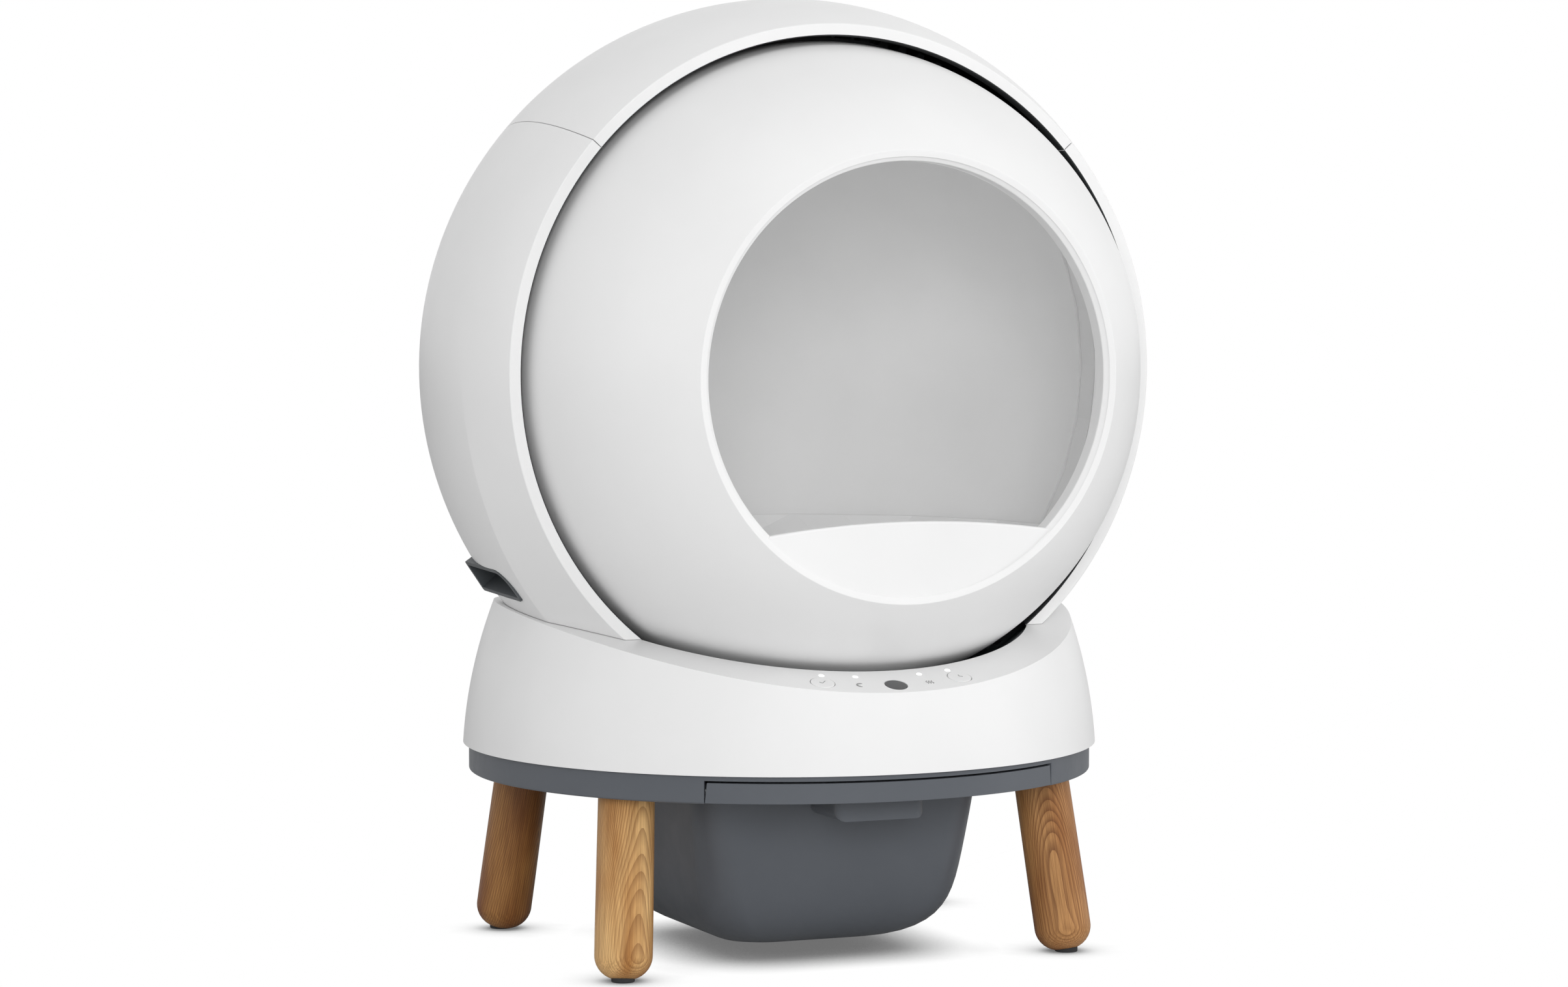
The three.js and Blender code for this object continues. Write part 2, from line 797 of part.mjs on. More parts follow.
// Base
function skirtPoints(inset, bottom) {
  const foot = point(skirtFootRadius - inset, skirtBottom);
  const belly = point(skirtBellyRadius - inset, skirtBellyHeight);
  const top = point(skirtTopRadius - inset, lipTop);
  const side = new THREE.QuadraticBezierCurve(foot, belly, top).getPoints(4);
  const end = lipTop + overrun;
  return [point(0, bottom), point(foot.x, bottom), ...side, point(top.x, end), point(0, end)];
}

function baseRoom(inset, offset, bottom) {
  return revolvedAboutZ(skirtPoints(inset, bottom)).intersect(underLip(offset));
}

// Where the drum dips through the deck: close round it at the front, as wide as the casing behind.
function deckOpening() {
  const front = eggBody(drum, lipGap, -farEnd, bandY + bandDepth);
  const behind = eggBody(casing, -casingWall - seatGap * 2, bandY + bandDepth - seatGap, farEnd);
  return inFloorFrame(front.add(behind));
}

// Places a piece made along Z at a point of the lip, square to it.
function onLip(solid, x, y) {
  return solid.rotate([lipSlope(y) / radians, 0, 0]).translate([x, y, lipHeight(y)]);
}

function baseShell() {
  const body = revolvedAboutZ(skirtPoints(0, skirtBottom)).intersect(underLip(0));
  const posts = [-1, 1].map((side) => {
    const post = cylinderAlongZ(boardPostRadius, -boardTopDepth + seatGap, -deckWall / 2, smallSteps);
    return onLip(post, side * boardPostX, controlY);
  });
  const below = -deckWall * 2;
  const buttonHole = cylinderAlongZ(buttonRadius + buttonGap, below, deckWall, smallSteps * 2);
  const lensHole = cylinderAlongZ(lensRadius + seatGap, below, deckWall);
  const holes = [
    onLip(buttonHole, -buttonX, controlY),
    onLip(buttonHole, buttonX, controlY),
    onLip(cylinderAlongZ(sensorRadius + seatGap, -sensorDepth, deckWall, smallSteps * 2), 0, sensorY),
    onLip(cylinderAlongZ(sensorBore, below, deckWall), 0, sensorY),
    ...lensPlaces.map(([x, y]) => onLip(lensHole, x, y)),
    inletPlug(),
  ];
  return body
    .subtract(baseRoom(skirtWall, -deckWall, skirtBottom - overrun))
    .add(joined(posts))
    .subtract(deckOpening())
    .subtract(joined(holes));
}

const boardTopDepth = deckWall + buttonFlangeHeight + seatGap + buttonTravel + seatGap;
const lensPlaces = [
  [-lensOuterX, lensOuterInset - skirtFootRadius],
  [-lensInnerX, lensInnerInset - skirtFootRadius],
  [lensInnerX, lensInnerInset - skirtFootRadius],
  [lensOuterX, lensOuterInset - skirtFootRadius],
];

function inletPlug() {
  const plug = cylinderAlongY(inletRadius + seatGap, 0, skirtFootRadius + overrun);
  return moved(plug, 0, 0, inletHeight);
}

function powerInlet() {
  const flangeStart = skirtSideRadius(inletHeight - inletRadius - inletFlange) + seatGap;
  const face = flangeStart + inletFlangeDepth;
  const body = cylinderAlongY(inletRadius, face - inletDepth, face, smallSteps);
  const flange = cylinderAlongY(inletRadius + inletFlange, flangeStart, face, smallSteps);
  const bore = cylinderAlongY(inletBore, face - inletBoreDepth, face + overrun, smallSteps);
  return moved(body.add(flange).subtract(bore), 0, 0, inletHeight);
}

function skirtSideRadius(height) {
  const points = skirtPoints(0, skirtBottom).filter((p) => p.x > 0);
  const above = points.findIndex((p) => p.y > height);
  const [lower, upper] = [points[above - 1], points[above]];
  return THREE.MathUtils.mapLinear(height, lower.y, upper.y, lower.x, upper.x);
}

function sector(halfAngle, bottom, top) {
  const reach = skirtFootRadius * 1.5;
  const side = reach * Math.sin(halfAngle * radians);
  const ahead = -reach * Math.cos(halfAngle * radians);
  return risen(new THREE.Shape([point(0, 0), point(-side, ahead), point(side, ahead)]), bottom, top);
}

const legPlaces = [
  { name: 'front_left', x: -1, y: -1 },
  { name: 'front_right', x: 1, y: -1 },
  { name: 'rear_left', x: -1, y: 1 },
  { name: 'rear_right', x: 1, y: 1 },
];
const legTop = floorBottom - seatGap;
const legDrop = new THREE.Vector3(-legSplayX, -legSplayY, chassisBottom);

// A piece made along Z from its lower end, leaned as the rear right leg is, about its foot.
function leaned(solid) {
  const tiltY = Math.atan2(legDrop.x, legDrop.z) / radians;
  const tiltX = Math.atan2(-legDrop.y, Math.hypot(legDrop.x, legDrop.z)) / radians;
  return solid.rotate([tiltX, tiltY, 0]);
}

function mirroredTo(solid, place) {
  return solid.scale([place.x, place.y, 1]);
}

function woodenLeg() {
  const end = chassisBottom + overrun * 2;
  const corner = new THREE.CubicBezierCurve(
    point(legFlat, legLift),
    point(THREE.MathUtils.lerp(legFlat, legRadius, legRoundShare), legLift),
    point(legRadius, THREE.MathUtils.lerp(legLift + legDome, legLift, legRoundShare)),
    point(legRadius, legLift + legDome),
  );
  const outline = [point(0, legLift), ...corner.getPoints(3), point(legTopRadius, end), point(0, end)];
  const far = legFootX * 2;
  const above = block(-far, far, -far, far, legTop, far);
  const pad = cylinderAlongZ(padRadius + seatGap, -overrun, padThickness + seatGap, smallSteps * 2);
  const reach = legDrop.length();
  const bore = cylinderAlongZ(studRadius + seatGap, reach - studInLeg - seatGap, reach + overrun);
  const body = leaned(revolvedAboutZ(outline, smallSteps * 2));
  return body.subtract(above).subtract(pad).subtract(leaned(bore));
}

function footPad() {
  return cylinderAlongZ(padRadius, 0, padThickness, smallSteps * 2);
}

function legStud() {
  const reach = legDrop.length();
  return leaned(cylinderAlongZ(studRadius, reach - studInLeg, reach + studInBoss));
}

const screwPlaces = [
  { name: 'front_left', x: -footX, y: ribFrontY },
  { name: 'front_right', x: footX, y: ribFrontY },
  { name: 'rear_left', x: -footX, y: ribMiddleY },
  { name: 'rear_right', x: footX, y: ribMiddleY },
];

function chassis() {
  const outer = chassisRadius;
  const inner = outer - chassisWall;
  const flangeBottomZ = skirtBottom + flangeLift;
  const flangeRadius = (height) => skirtSideRadius(height) - skirtWall - seatGap;
  const ring = revolvedAboutZ([
    point(inner, chassisBottom),
    point(outer, chassisBottom),
    point(outer, flangeBottomZ),
    point(flangeRadius(flangeBottomZ), flangeBottomZ),
    point(flangeRadius(chassisTop), chassisTop),
    point(inner, chassisTop),
  ]);
  const floor = cylinderAlongZ(outer - chassisWall / 2, floorBottom, floorTop, aroundSteps);
  const reach = legDrop.length();
  const bossTop = reach + studInBoss + overrun;
  const atLeg = (solid, place) => mirroredTo(leaned(solid).translate([legFootX, legFootY, 0]), place);
  const boss = cylinderAlongZ(bossRadius, reach, bossTop);
  const bore = cylinderAlongZ(studRadius + seatGap, reach - overrun * 2, reach + studInBoss + seatGap);
  const far = skirtFootRadius * 2;
  const underFloor = block(-far, far, -far, far, 0, floorBottom);
  const bosses = joined(legPlaces.map((place) => atLeg(boss, place))).subtract(underFloor);
  const passageFront = -outer - overrun;
  const passageBottom = chassisBottom - overrun;
  const passage = block(
    -passageHalfWidth,
    passageHalfWidth,
    passageFront,
    passageRearY,
    passageBottom,
    passageTop,
  );
  const screwHole = cylinderAlongZ(screwRadius + seatGap, passageBottom, chassisTop);
  return ring
    .add(floor)
    .add(bosses)
    .subtract(passage)
    .subtract(sector(drawerHalfAngle, passageBottom, passageTop))
    .subtract(joined(legPlaces.map((place) => atLeg(bore, place))))
    .subtract(joined(screwPlaces.map(({ x, y }) => moved(screwHole, x, y, 0))));
}

function baseScrew() {
  const head = floorBottom - seatGap;
  const shaft = cylinderAlongZ(screwRadius, head, floorBottom + screwLength);
  return shaft.add(cylinderAlongZ(screwHeadRadius, head - screwHeadHeight, head));
}

// Cradle: a bowl that clears the drum, its gear and its rail
function bowlProfile(offset) {
  const slope = overrun * 2;
  const places = [
    [bowlFrontY, eggRadius(drum, bowlFrontY) + bowlGap],
    [bandY - bandDepth, eggRadius(drum, bandY - bandDepth) + bowlGap],
    [gearFlangeFrontY - slope, bowlGearRadius],
    [gearFlangeRearY + slope, bowlGearRadius],
    [ribMiddleY / 2, eggRadius(drum, ribMiddleY / 2) + bowlGap],
    [railY - slope, railRadius + bowlGap],
    [bowlRearY, railRadius + bowlGap],
  ];
  return places.map(([y, radius]) => point(radius + offset, y));
}

function bowlFill(offset, stretch) {
  const skin = bowlProfile(offset);
  const [first, last] = [skin[0], skin[skin.length - 1]];
  first.y -= stretch;
  last.y += stretch;
  return inFloorFrame(revolvedAboutY([point(0, first.y), ...skin, point(0, last.y)]));
}

// A block beside the drum's axis, stated from straight down: across, along Y, and outwards.
function outwardBlock(angle, halfWidth, y0, y1, inner, outer) {
  return inFloorFrame(turnedAboutY(block(-halfWidth, halfWidth, y0, y1, -outer, -inner), -angle));
}

function rollerEars(place) {
  const half = rollerWidth / 2 + rollerSlack / 2;
  return [-1, 1].map((side) => {
    const inner = place.y + side * half;
    const outer = place.y + side * (half + earWall);
    const [y0, y1] = side < 0 ? [outer, inner] : [inner, outer];
    const [near, far] = [place.distance - earReach, place.distance + earReach];
    return outwardBlock(place.angle, earHalfWidth, y0, y1, near, far);
  });
}

function rollerSlot(place) {
  const half = rollerWidth / 2 + rollerSlack / 2;
  const around = rollerRadius + rollerSlack;
  return outwardBlock(
    place.angle,
    around,
    place.y - half,
    place.y + half,
    place.distance - around,
    place.distance + around,
  );
}

// A rib across the cradle: it bridges the drawer and stands on the floor beside it.
function crossRib(rearY) {
  const half = footX + footRadius;
  const plate = block(-half, half, rearY - ribWall, rearY, floorTop + seatGap, lipTop);
  const bridge = passageHalfWidth + railFoot + seatGap;
  return plate.subtract(block(-bridge, bridge, rearY - ribWall * 2, rearY + ribWall, 0, chuteBottom));
}

function cradle() {
  const chuteFront = portFrontY - chuteMargin;
  const chuteRear = portRearY + chuteMargin;
  const chuteSide = portHalfWidth + chuteMargin;
  const chute = block(
    -chuteSide - chuteWall,
    chuteSide + chuteWall,
    chuteFront - chuteWall,
    chuteRear + chuteWall,
    chuteBottom,
    lipTop,
  );
  const rearRib = block(
    -rearRibHalfWidth,
    rearRibHalfWidth,
    bowlRearY - ribWall * 1.5,
    bowlRearY,
    chuteBottom,
    lipTop,
  );
  const foot = cylinderAlongZ(footRadius, floorTop + seatGap, floorTop + footHeight, smallSteps * 2);
  const feet = screwPlaces.map(({ x, y }) => moved(foot, x, y, 0));
  const screwEnd = floorBottom + screwLength + seatGap;
  const screwHole = cylinderAlongZ(screwRadius + seatGap, floorBottom, screwEnd);
  const pinionHalf = pinionPitchRadius + addendum + gearRoom / 2;
  const pinionRoom = outwardBlock(
    -pinionAngle,
    pinionHalf,
    toothFrontY - seatGap * 2,
    gearFlangeRearY + seatGap * 2,
    gearRootRadius,
    pinionDistance + pinionHalf,
  );
  const axleHalf = rollerWidth / 2 + axleOverhang;
  const axlePlug = plugAlongY(axleRadius + seatGap, -axleHalf, axleHalf);
  const axleHoles = rollerPlaces.map(({ angle, distance, y }) => {
    return axlePlug.translate(below(angle, distance, y));
  });
  const driveRoom = outwardBlock(
    -pinionAngle,
    gearboxWidth / 2 + gearRoom,
    gearFlangeRearY,
    gearFlangeRearY + gearboxLength + motorLength + gearRoom,
    pinionDistance - gearboxInner,
    pinionDistance + gearboxHeight,
  );
  return bowlFill(bowlWall, 0)
    .add(chute)
    .add(crossRib(ribFrontY + ribWall / 2))
    .add(crossRib(ribMiddleY + ribWall / 2))
    .add(rearRib)
    .add(joined(feet))
    .intersect(baseRoom(skirtWall + seatGap, -deckWall - seatGap, floorTop))
    .subtract(bowlFill(0, overrun * 4))
    .subtract(joined(rollerPlaces.map(rollerSlot)))
    .add(joined(rollerPlaces.flatMap(rollerEars)))
    .subtract(block(-chuteSide, chuteSide, chuteFront, chuteRear, 0, axisHeight))
    .subtract(pinionRoom)
    .subtract(driveRoom)
    .subtract(joined(axleHoles))
    .subtract(joined(screwPlaces.map(({ x, y }) => moved(screwHole, x, y, 0))));
}

// Controls
function roundButton() {
  const flangeTop = -deckWall - seatGap;
  const bottom = flangeTop - buttonFlangeHeight;
  const cap = cylinderAlongZ(buttonRadius, bottom, buttonProud, smallSteps * 2);
  return cap.add(cylinderAlongZ(buttonRadius + buttonFlange, bottom, flangeTop, smallSteps * 2));
}

function controlBoard() {
  const depth = boardTopDepth + boardThickness;
  const half = boardDepth / 2;
  return block(-boardHalfWidth, boardHalfWidth, -half, half, -depth, -boardTopDepth);
}

// One clear moulding behind the deck carries the four lenses, in the lip's own frame.
function lightGuide() {
  const top = -deckWall - seatGap;
  const stemHalf = lensInnerX + lensRadius + guideMargin;
  const barHalf = lensOuterX + lensRadius + guideMargin;
  const outline = new THREE.Shape([
    point(-stemHalf, guideStemFront),
    point(stemHalf, guideStemFront),
    point(stemHalf, guideBarFront),
    point(barHalf, guideBarFront),
    point(barHalf, guideBarRear),
    point(-barHalf, guideBarRear),
    point(-barHalf, guideBarFront),
    point(-stemHalf, guideBarFront),
  ]);
  const lens = cylinderAlongZ(lensRadius, top - guideHeight, seatGap / 2);
  const alongLip = (y) => (y - controlY) / Math.cos(lipSlope(controlY));
  const lenses = lensPlaces.map(([x, y]) => moved(lens, x, alongLip(y), 0));
  return risen(outline, top - guideHeight, top).add(joined(lenses));
}

// Drawer
function tubSection(height, inset, corner) {
  const [left, right] = [-tubHalfWidth + inset + corner, tubHalfWidth - inset - corner];
  const [front, rear] = [tubFrontY + inset + corner, tubRearY - inset - corner];
  const centres = [[left, front], [right, front], [right, rear], [left, rear]];
  return centres.flatMap(([x, y], quarter) => {
    return Array.from({ length: cornerSteps + 1 }, (_, i) => {
      const turn = (Math.PI / 2) * (quarter + 2 + i / cornerSteps);
      return new THREE.Vector3(x + corner * Math.cos(turn), y + corner * Math.sin(turn), height);
    });
  });
}

// Joins closed sections of as many points each into one solid, capped at both ends.
function lofted(sections) {
  const count = sections[0].length;
  const places = sections.flat().flatMap((p) => [p.x, p.y, p.z]);
  const corners = [];
  for (let row = 0; row + 1 < sections.length; row += 1) {
    for (let i = 0; i < count; i += 1) {
      const a = row * count + i;
      const b = row * count + ((i + 1) % count);
      corners.push(a, b, b + count, a, b + count, a + count);
    }
  }
  const last = (sections.length - 1) * count;
  const flat = sections[0].map((p) => point(p.x, p.y));
  for (const [a, b, c] of THREE.ShapeUtils.triangulateShape(flat, [])) {
    corners.push(c, b, a, last + a, last + b, last + c);
  }
  const geometry = new THREE.BufferGeometry();
  geometry.setAttribute('position', new THREE.Float32BufferAttribute(places, 3));
  geometry.setIndex(corners);
  return solidOf(geometry);
}

// The tub narrows slightly, then rounds under in a wide curve to a flat bottom.
function tubBody(wall, top) {
  const bottom = tubBottom + wall;
  const depth = flangeBottom - tubBottom;
  const profileShares = [[1, 0], [0.5, 0.9], [0.23, 1.3], [0.1, 1.9], [0.033, 2.8], [0, 4]];
  const sections = profileShares.map(([heightShare, insetShare]) => {
    const height = heightShare === 1 ? top : bottom + (depth - wall) * heightShare;
    const inset = tubWaistInset * insetShare + wall;
    return tubSection(height, inset, tubCorner - wall);
  });
  return lofted(sections.reverse());
}

function wasteTub() {
  const top = flangeBottom + flangeThickness;
  const plateRadius = chassisRadius - drawerFrontWall - seatGap;
  const plate = cylinderAlongZ(plateRadius, flangeBottom, top, aroundSteps);
  const zone = block(-flangeHalfWidth, flangeHalfWidth, -chassisRadius, tubRearY + chassisWall, 0, top);
  return tubBody(0, top - flangeThickness / 2)
    .add(plate.intersect(zone))
    .subtract(tubBody(tubWall, top + overrun));
}

function drawerFront() {
  const ring = revolvedAboutZ([
    point(chassisRadius - drawerFrontWall, drawerFrontBottom),
    point(chassisRadius, drawerFrontBottom),
    point(chassisRadius, drawerFrontTop),
    point(chassisRadius - drawerFrontWall, drawerFrontTop),
  ], aroundSteps);
  return ring.intersect(sector(drawerHalfAngle - seatGap / 4, 0, axisHeight));
}

function drawerGrip() {
  const corners = [gripCorner, gripCorner, gripRearCorner, gripRearCorner];
  const outer = roundedRectangle(-gripHalfWidth, gripHalfWidth, gripFrontY, gripRearY, corners);
  const inner = roundedRectangle(
    -gripHalfWidth + gripWall,
    gripHalfWidth - gripWall,
    gripFrontY + gripWall,
    gripRearY - gripWall,
    evenCorners(gripWall),
  );
  const top = flangeBottom - seatGap;
  const face = roundedRectangle(-gripHalfWidth, gripHalfWidth, gripBottom, top, corners);
  return risen(outer, gripBottom, top, cornerSteps)
    .intersect(drawnAlongY(face, gripFrontY - overrun, gripRearY + overrun, cornerSteps))
    .subtract(risen(inner, gripBottom - overrun, top - gripWall, cornerSteps));
}

function bagFrame() {
  const bottom = flangeBottom + flangeThickness + seatGap;
  const section = (spread, from, to) => {
    const shape = roundedRectangle(
      -tubHalfWidth - spread,
      tubHalfWidth + spread,
      tubFrontY - spread,
      tubRearY + Math.min(spread, chassisWall),
      evenCorners(tubCorner),
    );
    return risen(shape, from, to, cornerSteps);
  };
  const inner = section(-tubWall, bottom - overrun, bottom + overrun);
  return section(frameWidth / 2, bottom, bottom + frameHeight).subtract(inner);
}

// A rail beside the drawer: a plate that the tub's flange slides on, a wall that guides the
// flange's edge, and a foot on the chassis floor.
function drawerRail(side) {
  const wallInner = flangeHalfWidth + seatGap * 2;
  const footOuter = passageHalfWidth + railFoot;
  const bottom = floorTop + seatGap;
  const front = -Math.sqrt((chassisRadius - chassisWall) ** 2 - footOuter ** 2) + railPlate;
  const rear = passageRearY - seatGap;
  const plate = block(wallInner - railReach, footOuter, front, rear, bottom, bottom + railPlate);
  const wall = block(wallInner, wallInner + railWall, front, rear, bottom, passageTop - seatGap);
  return plate.add(wall).scale([side, 1, 1]);
}

// Assembly
const litterBox = new THREE.Group();

function placed(mesh, [x, y, z], parent = litterBox) {
  mesh.position.set(x, y, z);
  parent.add(mesh);
  return mesh;
}

function added(name, solid, material, parent = litterBox) {
  const mesh = meshOf(name, solid, material);
  parent.add(mesh);
  return mesh;
}

const onAxis = new THREE.Group();
onAxis.position.set(0, 0, axisHeight);
litterBox.add(onAxis);

added('base_shell', baseShell(), whitePlastic);
added('chassis', chassis(), darkPlastic);
added('cradle', cradle(), blackPlastic);
added('casing_left', sideShell(-1), whitePlastic, onAxis);
added('casing_right', sideShell(1), whitePlastic, onAxis);
added('bonnet', bonnetShell(), whitePlastic, onAxis);
for (const side of [-1, 1]) {
  const name = side < 0 ? 'handle_cup_left' : 'handle_cup_right';
  const cup = added(name, handleCup(side), blackPlastic, onAxis);
  cup.rotation.y = side * handleAngle * radians;
}

for (const place of legPlaces) {
  const corner = new THREE.Group();
  corner.position.set(place.x * legFootX, place.y * legFootY, 0);
  litterBox.add(corner);
  added(`leg_${place.name}`, mirroredTo(woodenLeg(), place), oak, corner);
  added(`foot_pad_${place.name}`, footPad(), rubber, corner);
  added(`leg_stud_${place.name}`, mirroredTo(legStud(), place), steel, corner);
}
for (const place of screwPlaces) {
  placed(meshOf(`base_screw_${place.name}`, baseScrew(), steel), [place.x, place.y, 0]);
}

added('drum_front', drumFront(), whitePlastic, onAxis);
added('entry_rim', entryRim(), whitePlastic, onAxis);
added('drum_rear', drumRear(), greyPlastic, onAxis);
added('ring_gear', ringGear(), darkPlastic, onAxis);
added('litter_liner', litterLiner(), greyPlastic, onAxis);
added('sifting_grille', siftingGrille(), greyPlastic, onAxis);
added('port_seal', portSeal(), rubber, onAxis);

for (const place of rollerPlaces) {
  const centre = below(place.angle, place.distance, place.y);
  placed(meshOf(`roller_${place.name}`, drumRoller(), rubber), centre);
  placed(meshOf(`axle_${place.name}`, rollerAxle(), steel), centre);
}

const drive = new THREE.Group();
drive.position.set(...below(-pinionAngle, pinionDistance, 0));
drive.rotation.y = pinionAngle * radians;
litterBox.add(drive);
added('drive_pinion', drivePinion(), steel, drive);
added('gearbox', gearbox(), blackPlastic, drive);
added('motor', motor(), steel, drive);

const lipFrame = new THREE.Group();
lipFrame.position.set(0, controlY, lipHeight(controlY));
lipFrame.rotation.x = lipSlope(controlY);
litterBox.add(lipFrame);
for (const side of [-1, 1]) {
  const button = meshOf(side < 0 ? 'button_left' : 'button_right', roundButton(), whitePlastic);
  placed(button, [side * buttonX, 0, 0], lipFrame);
}
added('control_board', controlBoard(), boardGreen, lipFrame);
added('light_guide', lightGuide(), lensPlastic, lipFrame);
const sensorWindow = cylinderAlongZ(sensorRadius, -sensorDepth + seatGap, 0, smallSteps * 2);
added('sensor_window', onLip(sensorWindow, 0, sensorY), blackPlastic);
added('power_inlet', powerInlet(), blackPlastic);

added('waste_tub', wasteTub(), darkPlastic);
added('drawer_front', drawerFront(), darkPlastic);
added('drawer_grip', drawerGrip(), darkPlastic);
added('bag_frame', bagFrame(), darkPlastic);
added('drawer_rail_left', drawerRail(-1), steel);
added('drawer_rail_right', drawerRail(1), steel);

export default litterBox;
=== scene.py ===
# A self cleaning litter box in a plain white studio: a round drum in a round casing, on a scooped
# base with four wooden legs and a waste drawer. Metres, as in the frame, with the entry facing -Y.
# Each section holds one piece of the object: its sizes, its finish, its mesh and the body it rides on.
import math

import bmesh
import bpy
from mathutils import Matrix, Vector


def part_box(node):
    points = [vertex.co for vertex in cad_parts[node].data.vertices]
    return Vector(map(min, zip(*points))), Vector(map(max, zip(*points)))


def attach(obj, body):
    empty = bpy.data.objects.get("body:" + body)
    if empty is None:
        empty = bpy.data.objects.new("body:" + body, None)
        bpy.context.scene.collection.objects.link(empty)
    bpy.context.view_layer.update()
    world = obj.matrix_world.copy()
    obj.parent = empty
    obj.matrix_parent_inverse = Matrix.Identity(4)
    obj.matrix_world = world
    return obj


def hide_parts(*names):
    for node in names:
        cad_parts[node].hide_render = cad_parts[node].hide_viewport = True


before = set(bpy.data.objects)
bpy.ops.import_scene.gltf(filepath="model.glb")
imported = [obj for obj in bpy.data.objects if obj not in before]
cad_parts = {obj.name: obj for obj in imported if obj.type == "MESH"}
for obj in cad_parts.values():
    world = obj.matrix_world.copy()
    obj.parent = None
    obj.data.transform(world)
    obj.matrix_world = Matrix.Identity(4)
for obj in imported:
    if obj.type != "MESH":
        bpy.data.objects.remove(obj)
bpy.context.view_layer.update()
scene = bpy.context.scene


# Chassis: the dark ring that carries everything, with a floor plate and the drawer's opening.
# It is moulded in blue-grey plastic with a fine spark-eroded grain, and the legs screw into it.
mm = 0.001
chassis_low, chassis_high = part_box("chassis")
chassis_radius = chassis_high.x
chassis_wall = 4 * mm
floor_bottom = chassis_low.z + 2 * mm
floor_top = floor_bottom + 4 * mm
drawer_half_angle = math.radians(35.6)
drawer_top = 157.4 * mm
passage_half_width = 147 * mm
passage_front, passage_rear = -188 * mm, 130 * mm
ring_steps = 200
edge_round = 0.9 * mm
sharp_angle = math.radians(28)


def loose_object(shape):
    mesh = bpy.data.meshes.new("work")
    shape.to_mesh(mesh)
    shape.free()
    work = bpy.data.objects.new("work", mesh)
    scene.collection.objects.link(work)
    return work


def dropped(work):
    mesh = work.data
    bpy.data.objects.remove(work)
    bpy.data.meshes.remove(mesh)


def modified(shape, kind, **settings):
    """Runs one modifier over a bmesh and gives the result as a new one."""
    work = loose_object(shape)
    modifier = work.modifiers.new("work", kind)
    for name, value in settings.items():
        setattr(modifier, name, value)
    bpy.context.view_layer.update()
    made = bmesh.new()
    made.from_object(work, bpy.context.evaluated_depsgraph_get())
    dropped(work)
    return made


def combined(shape, tools, operation):
    for tool in tools:
        work = loose_object(tool)
        shape = modified(shape, "BOOLEAN", object=work, operation=operation, solver="EXACT")
        dropped(work)
    return shape


def cut(shape, *tools):
    return combined(shape, tools, "DIFFERENCE")


def tidy(shape):
    bmesh.ops.remove_doubles(shape, verts=shape.verts, dist=1e-6)
    bmesh.ops.recalc_face_normals(shape, faces=shape.faces)
    return shape


def softened(shape, width, segments=3, chosen=None):
    """Rounds every edge that is sharper than a facet's own turn."""
    corners = [e for e in shape.edges if e.is_manifold and e.calc_face_angle() > sharp_angle]
    if chosen:
        corners = [e for e in corners if chosen((e.verts[0].co + e.verts[1].co) / 2)]
    bmesh.ops.bevel(shape, geom=corners, offset=width, offset_type="OFFSET", segments=segments,
                    profile=0.5, affect="EDGES", material=-1, clamp_overlap=True)
    return shape


def filleted(corners, segments=4):
    """Points of an outline whose corners (across, along, radius) are rounded by arcs."""
    places = [Vector(c[:2]) for c in corners]
    points = [places[0]]
    for before, corner, after, (_, _, radius) in zip(places, places[1:], places[2:], corners[1:]):
        if radius == 0:
            points.append(corner)
            continue
        back, ahead = (before - corner).normalized(), (after - corner).normalized()
        half = back.angle(ahead) / 2
        centre = corner + (back + ahead).normalized() * radius / math.sin(half)
        start, end = corner + back * radius / math.tan(half), corner + ahead * radius / math.tan(half)
        for i in range(segments + 1):
            arm = (start - centre).lerp(end - centre, i / segments).normalized()
            points.append(centre + arm * radius)
    return points + [places[-1]]


def spun(points, axis, steps=ring_steps, start=0, sweep=math.tau, closed=True):
    """Spins (radius, along) points about Y from straight up, or about Z from the front."""
    shape = bmesh.new()
    side, front = math.sin(start), math.cos(start)
    if axis == "Y":
        places = [(r * side, along, r * front) for r, along in points]
    else:
        places = [(r * side, -r * front, along) for r, along in points]
    verts = [shape.verts.new(place) for place in places]
    edges = [shape.edges.new(pair) for pair in zip(verts, verts[1:])]
    if closed:
        edges.append(shape.edges.new((verts[-1], verts[0])))
    whole = sweep > math.tau - 1e-6
    bmesh.ops.spin(shape, geom=verts + edges, cent=(0, 0, 0), axis=(0, 1, 0) if axis == "Y" else (0, 0, 1),
                   angle=sweep, steps=steps, use_merge=whole)
    return tidy(shape)


def block(low, high):
    shape = bmesh.new()
    low, high = Vector(low), Vector(high)
    size = Matrix.Diagonal((*(high - low), 1))
    bmesh.ops.create_cube(shape, size=1, matrix=Matrix.Translation((low + high) / 2) @ size)
    return shape


def disc(radius, bottom, top, steps=48):
    shape = bmesh.new()
    place = Matrix.Translation((0, 0, (bottom + top) / 2))
    bmesh.ops.create_cone(shape, cap_ends=True, segments=steps, radius1=radius, radius2=radius,
                          depth=top - bottom, matrix=place)
    return shape


def lid_over(shape, faces):
    """Extrudes flat faces and gives the corners of their new lid."""
    lid = bmesh.ops.extrude_face_region(shape, geom=faces)["geom"]
    return [v for v in lid if isinstance(v, bmesh.types.BMVert)]


def risen(outline, bottom, top):
    """Carries a flat outline of (x, y) points up from bottom to top."""
    shape = bmesh.new()
    face = shape.faces.new([shape.verts.new((x, y, bottom)) for x, y in outline])
    bmesh.ops.translate(shape, vec=(0, 0, top - bottom), verts=lid_over(shape, [face]))
    return tidy(shape)


